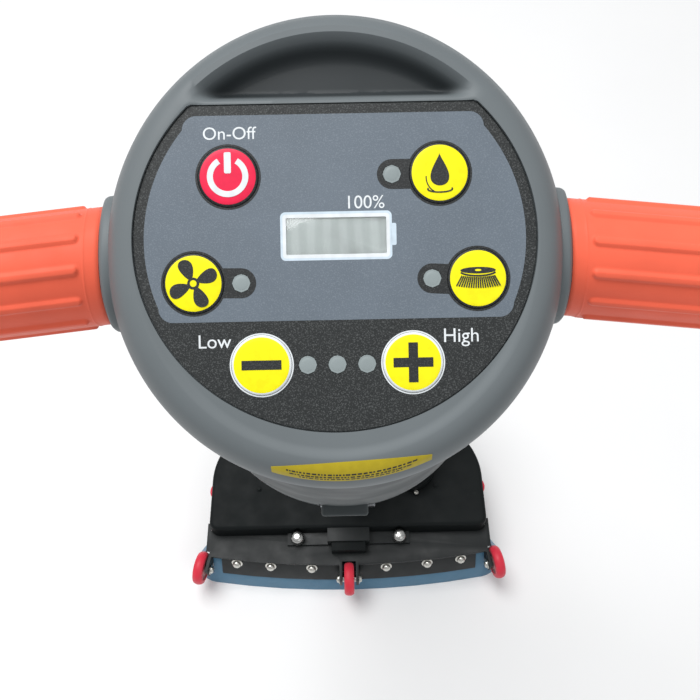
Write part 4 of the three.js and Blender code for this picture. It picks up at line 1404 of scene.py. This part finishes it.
def pin_with_ends(name, node, body, start, end, radius=8.0):
    """A turned pin with chamfered ends and a clip groove near each."""
    way = Vector(end) - Vector(start)
    length = way.length
    turn = Vector((0, 0, 1)).rotation_difference(way).to_matrix().to_4x4()
    place = MACHINE @ Matrix.Translation(start) @ turn
    profile = [(0.3, 0), (radius - 1.2, 0), (radius, 1.2)]
    for here in (3.2, length - 4.4):
        profile += [(radius, here), (radius - 0.8, here), (radius - 0.8, here + 1.2), (radius, here + 1.2)]
    profile += [(radius, length - 1.2), (radius - 1.2, length), (0.3, length)]
    shape = one("steel", loft([circle(r, z, 64) for r, z in profile]))
    piece(name, shape, place, body, replaces=[node], angle=35)


TILT_Y = -(175 - COLUMN_FOOT) * math.tan(LEAN)
pin_with_ends("tilt_axle_pin", "tilt_pin", "swivel", (-38, TILT_Y, 175), (38, TILT_Y, 175))
pin_with_ends("roll_axle_pin", "roll_pin", "base", (0, -51, 130), (0, 43, 130))


def bolt(shape, centre, radius, height, paint="nut", turn=None, hexagon=True):
    """A bolt head or domed nut on a washer, standing along Z."""
    place = Matrix.Translation(centre) @ (turn if turn is not None else Matrix.Identity(4))
    shape.add(
        *turned([(0, 0), (radius * 1.35, 0), (radius * 1.35, 0.7), (radius * 1.25, 1.0), (0, 1.0)], 32),
        paint,
        place,
    )
    if hexagon:
        shape.add(*plate(disc(radius, (0, 0), 6), 1.0, 1.0 + height, 0.4, 1), paint, place)
    else:
        dome = [(0, 1.0), (radius, 1.0), (radius, 1.0 + height * 0.35)]
        dome += [
            (radius * math.cos(a), 1.0 + height * 0.35 + height * 0.65 * math.sin(a))
            for a in (0.4, 0.8, 1.15, 1.4)
        ]
        dome.append((0, 1.0 + height))
        shape.add(*turned(dome, 40), paint, place)


def bracket_bolts():
    shape = Shape()
    for x in (-34, 34):
        for y in (-30, 28):
            bolt(shape, (x, y, 101.0), 5, 4)
    piece("bracket_bolts", shape, MACHINE, "base", angle=30)


bracket_bolts()


# ------------------------------------------------------------------ deck
DECK = {
    "radius": 105.0, "rear": -89.0, "corner": 15.0, "draft": 4.0, "bottom": 28.0, "top": 95.0, "wall": 4.0
}
ROLLER = {"x": 203.0, "y": -19.0, "radius": 16.0, "low": 49.5, "high": 74.5}
KNOB = {"x": 78.0, "y": -99.0, "room": 12.5}
DUCT = {"half": 26.0, "low": 68.3, "high": 86.0, "outlet": (-56.0, -34.0), "riser": 8.0}


def deck_outline(grow, steps=32):
    radius, corner = DECK["radius"] + grow, max(1.5, DECK["corner"] + grow)
    corner_x, corner_y = BRUSH["x"] + radius - corner, DECK["rear"] - grow + corner
    right = [
        (corner_x + corner * math.cos(a), corner_y + corner * math.sin(a))
        for a in (math.radians(-90 + 90 * i / 10) for i in range(11))
    ]
    right += [(corner_x + corner, corner_y + (BRUSH["y"] - corner_y) * i / 6) for i in range(1, 6)]
    right += [
        (BRUSH["x"] + radius * math.cos(a), BRUSH["y"] + radius * math.sin(a))
        for a in (math.radians(90 * i / steps) for i in range(steps + 1))
    ]
    right += [(BRUSH["x"] * (1 - i / 8), BRUSH["y"] + radius) for i in range(1, 8)]
    return right + [(0.0, BRUSH["y"] + radius)] + [(-x, y) for x, y in reversed(right)]


def deck():
    bottom, top, draft, wall = DECK["bottom"], DECK["top"], DECK["draft"], DECK["wall"]

    def at(grow, z):
        return [(x, y, z) for x, y in deck_outline(grow)]

    def drafted(z):
        return draft - (draft + 1) * min(1.0, (z - bottom) / (top - 6 - bottom))

    rings = [at(drafted(bottom) - 0.8, bottom), at(drafted(bottom), bottom + 1.2)]
    rings += [at(drafted(z), z) for z in (40, 52, 64, 76)]
    edge = 7.0
    for i in range(9):
        angle = math.pi / 2 * i / 8
        rings.append(
            at(
                drafted(top - edge) - edge * (1 - math.cos(angle)) * 0.9,
                top - edge + edge * math.sin(angle),
            )
        )
    rings += [at(-11, top + 0.15), at(-20, top + 0.2), at(-60, top + 0.2)]
    shape = one("black", loft(rings))
    hollow = loft(
        [at(drafted(bottom) - wall, bottom - 3), at(-wall - 0.5, top - 8), at(-wall - 4, top - 4)]
    )
    rear = DECK["rear"]
    cutters = [
        hollow,
        block((-206, -200, 0), (206, rear + 12, 42)),
        block((-DUCT["half"] - 1, -200, DUCT["low"] - 1), (DUCT["half"] + 1, rear + 12, DUCT["high"] + 1)),
        bar(DUCT["riser"] + 1, (*DUCT["outlet"], 80), (*DUCT["outlet"], 100), 48),
    ]
    for side in (-1, 1):
        cutters.append(
            bar(KNOB["room"], (side * KNOB["x"], KNOB["y"], 66), (side * KNOB["x"], KNOB["y"], 120), 64)
        )
        cutters.append(
            bar(
                ROLLER["radius"] + 2.4, (side * ROLLER["x"], ROLLER["y"], ROLLER["low"] - 1),
                (side * ROLLER["x"], ROLLER["y"], ROLLER["high"] + 1), 64,
            )
        )
    piece(
        "deck_cover", shape, MACHINE, "base", replaces=["deck_housing"],
        cutters=[one("black", c) for c in cutters], angle=35,
    )


def deck_details():
    """The rollers' lugs and posts, and the screws that hold the motors."""
    shape = Shape()
    top = DECK["top"]
    for side in (-1, 1):
        for z0, z1 in (
            (ROLLER["low"] - 7, ROLLER["low"] - 0.9), (ROLLER["high"] + 0.9, ROLLER["high"] + 7)
        ):
            shape.add(
                *plate(disc(15, (side * (ROLLER["x"] - 5), ROLLER["y"]), 48), z0, z1, 0.8, 2), "black"
            )
        shape.add(
            *bar(
                4, (side * ROLLER["x"], ROLLER["y"], ROLLER["low"] - 2),
                (side * ROLLER["x"], ROLLER["y"], ROLLER["high"] + 2),
            ),
            "black",
        )
        for i in range(3):
            angle = math.radians(90 + 120 * i)
            bolt(
                shape,
                (side * BRUSH["x"] + 34 * math.cos(angle), BRUSH["y"] + 34 * math.sin(angle), top + 0.1),
                3.4,
                2.0,
                "black",
            )
    piece("deck_fittings", shape, MACHINE, "base", angle=35)


def bumper():
    def section(z, grow):
        return [(x, y, z) for x, y in deck_outline(grow)]

    grow_out, grow_in = DECK["draft"] + 6, DECK["draft"] + 0.3
    rings = [
        section(34, grow_in), section(34, grow_out - 1.6), section(35.6, grow_out), section(44, grow_out)
    ]
    rings += [
        section(46, grow_out - 1.4), section(50, grow_out - 1.4), section(52, grow_out),
        section(60.4, grow_out),
    ]
    rings += [section(62, grow_out - 1.6), section(62, grow_in)]
    behind = one("rubber", block((-300, -250, 0), (300, 70, 120)))
    piece(
        "bumper_strip", one("rubber", loft(rings, loop=True)), MACHINE, "base", replaces=["front_bumper"],
        cutters=[behind], angle=35,
    )


def roller(name, side):
    low, high, radius = ROLLER["low"], ROLLER["high"], ROLLER["radius"]
    profile = [
        (4.4, low), (7, low), (8, low + 1.2), (11, low + 1.2), (12, low), (radius - 2, low),
        (radius - 0.5, low + 0.8), (radius, low + 2.4),
    ]
    middle = (low + high) / 2
    profile += [
        (radius, middle - 2.4), (radius - 0.9, middle - 1.6), (radius - 0.9, middle + 1.6),
        (radius, middle + 2.4),
    ]
    profile += [(r, low + high - z) for r, z in reversed(profile[:8])] + [(4.4, low)]
    place = MACHINE @ Matrix.Translation((side * ROLLER["x"], ROLLER["y"], 0))
    piece(
        f"roller_{name}_tyre", one("red", turned(profile, 80)), place, f"side_roller_{name}",
        replaces=[f"side_roller_{name}"], angle=35,
    )


def brush_motor(name, side):
    shape = Shape()
    profile = rounded([(0.3, 48.5), (38, 48.5), (42, 52), (42, 86), (39, 90.6), (0.3, 90.6)], 1.5)
    shape.add(*loft([circle(r, z, 96) for r, z in profile]), "motor")
    shape.add(*bar(7.5, (0, 0, 40.5), (0, 0, 49)), "steel")
    for i in range(24):
        turn = Matrix.Rotation(2 * math.pi * i / 24, 4, "Z") @ Matrix.Translation((42, 0, 0))
        shape.add(*plate(rounded_box(1.6, 2.2, 0.7), 55, 83, 0.6, 1), "motor", turn)
    place = MACHINE @ Matrix.Translation((side * BRUSH["x"], BRUSH["y"], 0))
    piece(f"motor_{name}_can", shape, place, "base", replaces=[f"brush_motor_{name}"], angle=35)


def brush(name, side):
    place = MACHINE @ Matrix.Translation((side * BRUSH["x"], BRUSH["y"], 0))
    body = f"brush_{name}"
    rng = random.Random(11 + side)
    shape = Shape()
    top = rounded([(0.3, 26.3), (85, 26.3), (86, 27.3), (86, 31), (80, 34), (0.3, 34)], 1.0)
    shape.add(*loft([circle(r, z, 128) for r, z in top]), "black")
    for i in range(12):
        turn = Matrix.Rotation(2 * math.pi * i / 12, 4, "Z")
        shape.add(*block((37, -1, 33.5), (78, 1, 35.6)), "black", turn)
    piece(f"brush_{name}_plate", shape, place, body, replaces=[f"brush_block_{name}"], angle=35)
    hub = rounded([(7.9, 34.3), (34, 34.3), (34, 42), (16, 47.5), (7.9, 47.5), (7.9, 34.3)], 1.2)
    piece(
        f"brush_{name}_hub", one("black", turned(hub[:-1] + [hub[0]], 96)), place, body,
        replaces=[f"drive_hub_{name}"], angle=35,
    )
    tufts = Shape()
    for radius, count in ((42, 26), (52, 32), (62, 38), (72, 44), (81, 50), (89, 56)):
        for i in range(count):
            angle = 2 * math.pi * (i + 0.5 * (radius % 4 > 1)) / count
            lean = 0.1 * (radius - 55)
            tuft(tufts, rng, radius, angle, lean)
    piece(f"brush_{name}_tufts", tufts, place, body, replaces=[f"bristles_{name}"], angle=60)


def tuft(shape, rng, radius, angle, lean):
    """A bundle of stiff filaments that spreads a little towards the floor."""
    cx, cy = math.cos(angle), math.sin(angle)
    for i in range(7):
        a = 2 * math.pi * i / 6
        off = 0.0 if i == 6 else 1.5
        x0, y0 = radius * cx + off * math.cos(a), radius * cy + off * math.sin(a)
        spread = 1.9 + rng.uniform(-0.3, 0.5)
        jitter_x, jitter_y = rng.uniform(-0.5, 0.5), rng.uniform(-0.5, 0.5)
        x1 = (radius + lean) * cx + off * spread * math.cos(a) + jitter_x
        y1 = (radius + lean) * cy + off * spread * math.sin(a) + jitter_y
        reach = math.hypot(x1, y1)
        x1, y1 = x1 * min(1, 97 / reach), y1 * min(1, 97 / reach)
        foot = rng.uniform(0.02, 0.9)
        rings = [
            circle(0.75, 26.4, 5, (x0, y0)), circle(0.7, 12, 5, ((x0 + x1) / 2, (y0 + y1) / 2)),
            circle(0.6, foot, 5, (x1, y1)),
        ]
        shape.add(*loft(rings), "nylon")


deck()
deck_details()
bumper()
for side_name, side_sign in SIDES.items():
    roller(side_name, side_sign)
    brush_motor(side_name, side_sign)
    brush(side_name, side_sign)


# ------------------------------------------------------------------ battery, recovery tank and vacuum
TANK = {"half": 128.0, "rear": 44.0, "front": 126.0, "floor": 158.3, "top": 335.0, "lid": 14.0}
HOSE_X, HOSE_Z, HOSE_RADIUS, HOSE_BORE = -100.0, 196.0, 11.0, 8.0


def box_outline(half, rear, front, corner):
    return rounded_box(2 * half, front - rear, corner, (0, (rear + front) / 2), 10)


def recovery_tank():
    floor, top = TANK["floor"], TANK["top"]

    def ring(inset_by, z, corner=20):
        half, rear, front = TANK["half"] - inset_by, TANK["rear"] + inset_by, TANK["front"] - inset_by
        return [(x, y, z) for x, y in box_outline(half, rear, front, corner - inset_by)]

    rings = [ring(4, floor), ring(1.2, floor + 1.2), ring(0, floor + 4)]
    for z in (floor + 48, floor + 96):
        rings += [ring(0, z), ring(1.6, z + 1.6), ring(1.6, z + 8.4), ring(0, z + 10)]
    rings += [ring(0, top - 9), ring(0, top - 8), ring(0, top), ring(3, top), ring(3, floor + 3)]
    shape = one("black", loft(rings))
    hole = one("black", bar(HOSE_BORE, (HOSE_X, 30, HOSE_Z), (HOSE_X, 60, HOSE_Z), 48))
    piece("waste_tank", shape, MACHINE, "base", replaces=["recovery_tank"], cutters=[hole], angle=35)
    fittings = Shape()
    facing_rear = Matrix.Rotation(math.pi / 2, 4, "X")
    spigot = Matrix.Translation((HOSE_X, TANK["rear"], HOSE_Z)) @ facing_rear
    fittings.add(
        *turned(
            [
                (HOSE_RADIUS + 0.3, -0.3), (16, -0.3), (16, 0.0), (15.4, 0.2), (HOSE_RADIUS + 0.3, 0.2),
                (HOSE_RADIUS + 0.3, -0.3),
            ],
            64,
        ),
        "black",
        spigot,
    )
    for side in (-1, 1):
        x = side * (TANK["half"] - 0.4)
        turn = Matrix.Translation((x, 85, top - 15)) @ Matrix.Rotation(side * math.pi / 2, 4, "Y")
        fittings.add(*plate(rounded_box(22, 26, 3), -0.6, 0.3, 0.3, 2), "black", turn)
    piece("waste_tank_fittings", fittings, MACHINE, "base", angle=35)


def recovery_lid():
    low, high = TANK["top"] + 0.3, TANK["top"] + 0.3 + TANK["lid"]

    def ring(inset_by, z):
        half, rear, front = TANK["half"] - inset_by, TANK["rear"] + inset_by, TANK["front"] - inset_by
        return [(x, y, z) for x, y in box_outline(half, rear, front, 20 - inset_by)]

    rings = [ring(2, low), ring(0.4, low + 0.4), ring(0, low + 1.4), ring(0, high - 6)]
    for i in range(1, 7):
        angle = math.pi / 2 * i / 6
        rings.append(ring(5 * (1 - math.cos(angle)), high - 6 + 6 * math.sin(angle)))
    rings += [ring(12, high), ring(13.2, high - 1.2), ring(15.2, high - 1.2), ring(16.4, high)]
    shape = one("black", loft(rings))
    handle = plate(rounded_box(68, 34, 10, (0, 85)), high - 0.5, high + 6, 2.4, 4)
    shape.add(*handle, "black")
    recess = one("black", plate(rounded_box(46, 16, 7, (0, 85)), high + 1.5, high + 9))
    piece(
        "waste_tank_lid", shape, MACHINE, "recovery_lid", replaces=["recovery_lid"], cutters=[recess],
        angle=35,
    )
    gasket = Shape()
    inner = box_outline(TANK["half"] - 4, TANK["rear"] + 4, TANK["front"] - 4, 16)
    outer = box_outline(TANK["half"] - 1.4, TANK["rear"] + 1.4, TANK["front"] - 1.4, 18.6)
    rings = [
        [(x, y, z) for x, y in outline]
        for outline, z in ((outer, low - 0.25), (outer, low + 1), (inner, low + 1), (inner, low - 0.25))
    ]
    gasket.add(*loft(rings, loop=True), "rubber")
    piece("lid_gasket", gasket, MACHINE, "recovery_lid", angle=35)


def battery():
    shape = Shape()
    outline = box_outline(125, 44, 104, 8)
    rings = [
        [(x, y, z) for x, y in inset(outline, i)]
        for i, z in (
            (1.2, 95.3), (0, 96.5), (0, 136), (1.2, 137), (1.2, 138.4), (0, 139.4), (0, 156.4), (1.6, 158)
        )
    ]
    shape.add(*loft(rings), "black")
    piece("battery_case", shape, MACHINE, "base", replaces=["battery_pack"], angle=35)
    details = Shape()
    facing_rear = Matrix.Rotation(math.pi / 2, 4, "X")
    for x in (-60, 60):
        turn = Matrix.Translation((x, 44.1, 148)) @ facing_rear
        details.add(*plate(rounded_box(44, 12, 3), 0, 2.0, 0.6, 2), "black", turn)
    turn = Matrix.Translation((0, 44.1, 118)) @ facing_rear
    for x, paint in ((-9, "red"), (9, "black")):
        knob_turn = turn @ Matrix.Translation((x, 0, 0))
        details.add(*turned([(0, 0), (6, 0), (6, 3), (5.2, 3.8), (0, 3.8)], 40), paint, knob_turn)
    for i in range(9):
        for side in (-1, 1):
            x = side * 125
            rib = Matrix.Translation((x, 54 + 5 * i, 0))
            details.add(*plate(rounded_box(1.0, 1.8, 0.4), 102, 132, 0.3, 1), "black", rib)
    piece("battery_details", details, MACHINE, "base", angle=35)


def vacuum():
    place = MACHINE @ Matrix.Translation((100, 2, 0))
    shape = Shape()
    profile = rounded(
        [
            (0.3, 95.3), (34, 95.3), (36, 98), (36, 112), (34.6, 113.4), (34.6, 116), (36, 117.4),
            (36, 138), (31, 146), (0.3, 147.6),
        ],
        1.2,
    )
    shape.add(*loft([circle(r, z, 96) for r, z in profile]), "black")
    for i in range(28):
        turn = Matrix.Rotation(2 * math.pi * i / 28, 4, "Z") @ Matrix.Translation((35.4, 0, 0))
        shape.add(*plate(rounded_box(1.6, 2.0, 0.6), 120, 135, 0.5, 1), "black", turn)
    for i in range(10):
        turn = Matrix.Rotation(2 * math.pi * i / 10, 4, "Z")
        shape.add(*plate(rounded_box(15, 1.6, 0.7, (17, 0)), 146.2, 148, 0.4, 1), "black", turn)
    piece("vacuum_housing", shape, place, "base", replaces=["vacuum_motor"], angle=35)
    tabs = Shape()
    for i in range(3):
        angle = math.radians(40 + 120 * i)
        x, y = 39 * math.cos(angle), 39 * math.sin(angle)
        tabs.add(*plate(disc(5, (x, y), 32), 95.2, 98.4, 0.5, 2), "black")
        bolt(tabs, (x, y, 98.3), 2.6, 2)
    piece("vacuum_feet", tabs, place, "base", angle=35)


def smooth_path(points, steps=10):
    """A Catmull-Rom curve through the points."""
    out = []
    padded = [points[0]] + list(points) + [points[-1]]
    for p0, p1, p2, p3 in zip(padded, padded[1:], padded[2:], padded[3:]):
        a, b, c, d = Vector(p0), Vector(p1), Vector(p2), Vector(p3)
        for i in range(steps):
            t = i / steps
            out.append(
                0.5 * (
                    2 * b + (c - a) * t + (
                        2 * a - 5 * b + 4 * c - d
                    ) * t**2 + (3 * b - a - 3 * c + d) * t**3
                )
            )
    out.append(Vector(points[-1]))
    return out


def hose():
    """A corrugated hose with plain cuffs, along the same route as the CAD's."""
    x0, y0 = DUCT["outlet"]
    route = [(x0, y0, 96.6), (x0, y0, 105), (-64, -26, 119), (-76, -14, 128), (-89, -5, 138), (-97, 1, 154)]
    route += [
        (HOSE_X, 4, 174), (HOSE_X, 14, 190), (HOSE_X, 30, HOSE_Z), (HOSE_X, TANK["rear"] - 0.3, HOSE_Z)
    ]
    path = smooth_path(route, 14)
    total = sum((b - a).length for a, b in zip(path, path[1:]))
    rings, run, pitch = [], 0.0, 4.2
    side = Vector((1, 0, 0))
    for i, here in enumerate(path):
        before, after = path[max(0, i - 1)], path[min(len(path) - 1, i + 1)]
        way = (after - before).normalized()
        side = (side - way * side.dot(way)).normalized()
        up = way.cross(side)
        if i:
            run += (here - path[i - 1]).length
        cuff = run < 9 or run > total - 9
        radius = HOSE_RADIUS - 0.2 if cuff else HOSE_RADIUS - 0.9 + 0.8 * math.cos(
            2 * math.pi * run / pitch
        )
        rings.append(
            [
                here + side * radius * math.cos(a) + up * radius * math.sin(a)
                for a in (2 * math.pi * k / 40 for k in range(40))
            ]
        )
    inner = []
    for ring_points, centre_point in zip(rings, path):
        inner.append([centre_point + (p - centre_point).normalized() * HOSE_BORE for p in ring_points])
    piece(
        "vacuum_hose", one("rubber", loft(rings + inner[::-1], loop=True)), MACHINE, "base",
        replaces=["suction_hose"], angle=60,
    )


recovery_tank()
recovery_lid()
battery()
vacuum()
hose()
refined("suction_duct", "squeegee_duct", "base", "black", 1.0)


# ------------------------------------------------------------------ squeegee
BLADE = {"arc": 1368.0, "rear": -137.0, "line": 62.0, "rake": math.radians(23)}
WHEELS = {
    "left": ((-228, -134, 50), math.radians(-11), -1),
    "center": ((0, -155, 50), 0.0, 0),
    "right": ((228, -134, 50), math.radians(11), 1),
}
WHEEL = {"radius": 25.0, "half": 7.5, "bore": 5.3}
STRAP_NUTS = (57, 120, 172)

refined("squeegee_frame", "squeegee_body", "base", "squeegee", 0.9, 35)
refined("squeegee_hanger", "hanger_plate", "base", "squeegee", 1.0)
refined("rear_strap_left", "strap_left", "base", "squeegee", 0.6, 35)
refined("rear_strap_right", "strap_right", "base", "squeegee", 0.6, 35)
refined("rear_blade", "blade_rear", "base", "blue", 0.5, 35)
refined("front_blade", "blade_front", "base", "blue", 0.5, 35)


def strap_face(x, z, lift=0.0):
    """A place on the strap's rear face and the turn of its outward direction."""
    turn = math.asin(x / BLADE["arc"])
    out = Vector((math.sin(turn), -math.cos(turn), 0))
    centre = Vector((0, BLADE["rear"] + BLADE["arc"], 0))
    at = centre + out * (BLADE["arc"] + (BLADE["line"] - z) * math.tan(BLADE["rake"]) + lift)
    normal = (out * math.cos(BLADE["rake"]) + Vector((0, 0, math.sin(BLADE["rake"])))).normalized()
    return Vector((at.x, at.y, z)), normal


def strap_nuts():
    shape = Shape()
    for x in STRAP_NUTS:
        for side in (-1, 1):
            at, normal = strap_face(side * x, 55)
            turn = Vector((0, 0, 1)).rotation_difference(normal).to_matrix().to_4x4()
            bolt(shape, at - normal * 0.3, 6.3, 6.5, "nut", turn, hexagon=False)
    piece("strap_nuts", shape, MACHINE, "base", angle=40)


def knob(name, side):
    shape = Shape()
    head = rounded(
        [(4, 73.8), (10.2, 73.8), (10.4, 76), (10.4, 83), (9.6, 86.4), (7.4, 88.9), (4, 90.1), (0.3, 90.4)],
        0.8,
    )
    rings = []
    for radius, z in head:
        grip_share = 1 - smoothstep(abs(z - 79.5), 3, 4.5)
        rings.append(
            [
                (x * (1 - 0.03 * grip_share * (k % 2)), y * (1 - 0.03 * grip_share * (k % 2)), z)
                for k, (x, y, z) in enumerate(circle(radius, z, 96))
            ]
        )
    shape.add(*loft(rings), "steel")
    shape.add(*bar(3.9, (0, 0, 56), (0, 0, 74.2)), "steel")
    place = MACHINE @ Matrix.Translation((side * KNOB["x"], KNOB["y"], 0))
    piece(f"knob_{name}_head", shape, place, f"knob_{name}", replaces=[f"knob_{name}"], angle=30)


def wheel(name, at, yaw):
    """A moulded wheel: a soft red tyre on a paler hub."""
    radius, half, bore = WHEEL["radius"], WHEEL["half"], WHEEL["bore"]
    along_x = Matrix.Rotation(math.pi / 2, 4, "Y")
    place = MACHINE @ Matrix.Translation(at) @ Matrix.Rotation(yaw, 4, "Z") @ along_x
    tyre = [(17, -half), (radius - 4.5, -half)]
    tyre += [(radius - 4.5 + 4.4 * math.sin(a), -half * math.cos(a)) for a in (0.35, 0.7, 1.05, 1.35)]
    tyre += [(radius, 0)]
    tyre += [(r, -z) for r, z in reversed(tyre[:-1])] + [(17, -half)]
    shape = Shape()
    shape.add(*turned(tyre, 96), "red")
    hub = rounded(
        [
            (bore, -half + 0.6), (9, -half + 0.6), (9.6, -half + 2.4), (16, -half + 2.4),
            (17.1, -half + 0.8), (17.1, half - 0.8), (16, half - 2.4), (9.6, half - 2.4), (9, half - 0.6),
            (bore, half - 0.6), (bore, -half + 0.6),
        ],
        0.5,
    )
    # The hub's pale pink carries a painted highlight of the wheel's side face over its own paler colour.
    shape.add(*turned(hub[:-1] + [hub[0]], 64), "wheel_hub")
    piece(
        f"wheel_{name}_tyre", shape, place, f"wheel_{name}", replaces=[f"squeegee_wheel_{name}"], angle=40
    )


def axle_nuts(name, at, yaw, side):
    """The axle with a domed nut and washer outside each lug."""
    lug = 14.9
    place = MACHINE @ Matrix.Translation(at) @ Matrix.Rotation(yaw, 4, "Z")
    shape = Shape()
    mirror = -1 if side < 0 else 1
    inner, outer = (-lug, lug) if side == 0 else (-lug * mirror, 8.2 * mirror)
    shape.add(*bar(4.9, (inner, 0, 0), (outer, 0, 0)), "steel")
    for x in (inner, outer):
        way = Vector((1 if x > 0 else -1, 0, 0))
        turn = Vector((0, 0, 1)).rotation_difference(way).to_matrix().to_4x4()
        end_cap = side != 0 and x == outer
        bolt(shape, (x, 0, 0), 5.2 if end_cap else 5.6, 1.6 if end_cap else 4.0, "nut", turn, hexagon=False)
    piece(f"axle_{name}_bolt", shape, place, "base", replaces=[f"axle_{name}"], angle=40)


strap_nuts()
for side_name, side_sign in SIDES.items():
    knob(side_name, side_sign)
for wheel_name, (wheel_at, wheel_yaw, wheel_side) in WHEELS.items():
    wheel(wheel_name, wheel_at, wheel_yaw)
    axle_nuts(wheel_name, wheel_at, wheel_yaw, wheel_side)


# ------------------------------------------------------------------ CAD nodes that stay as they are
def finish_node(node, paint):
    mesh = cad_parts[node].data
    for i in range(len(mesh.materials)):
        mesh.materials[i] = M[paint]
    if not mesh.materials:
        mesh.materials.append(M[paint])


for node_name, paint_name in {
    "circuit_board": "board",
    "display_module": "display",
    "light_guide": "lens",
    "handlebar_tube": "tube",
}.items():
    finish_node(node_name, paint_name)


# ------------------------------------------------------------------ stage
def stage():
    mesh = bpy.data.meshes.new("floor")
    work = bmesh.new()
    bmesh.ops.create_grid(work, x_segments=1, y_segments=1, size=6)
    work.to_mesh(mesh)
    work.free()
    floor = bpy.data.objects.new("floor", mesh)
    bpy.context.scene.collection.objects.link(floor)
    paint = Paint("floor_white", 0.7)
    paint.colour(paint.mottled((0.93, 0.93, 0.93), 0.01, 300))
    mesh.materials.append(paint.material)
    world = bpy.data.worlds.new("studio")
    bpy.context.scene.world = world
    world.use_nodes = True
    world.node_tree.nodes["Background"].inputs["Color"].default_value = (0.97, 0.985, 1, 1)
    world.node_tree.nodes["Background"].inputs["Strength"].default_value = 0.45

    def lamp(name, place, aim, size, watts):
        data = bpy.data.lights.new(name, "AREA")
        data.shape = "DISK"
        data.size = size
        data.energy = watts
        obj = bpy.data.objects.new(name, data)
        obj.location = place
        obj.rotation_euler = (Vector(aim) - Vector(place)).to_track_quat("-Z", "Y").to_euler()
        bpy.context.scene.collection.objects.link(obj)

    lamp("key", (-1.1, 0.9, 4.6), (0, 0, 0.4), 3.2, 170)
    lamp("fill", (1.8, -2.4, 3.6), (0, 0, 0.5), 2.4, 16)
    view = bpy.context.scene.view_settings
    view.view_transform = "Standard"


stage()
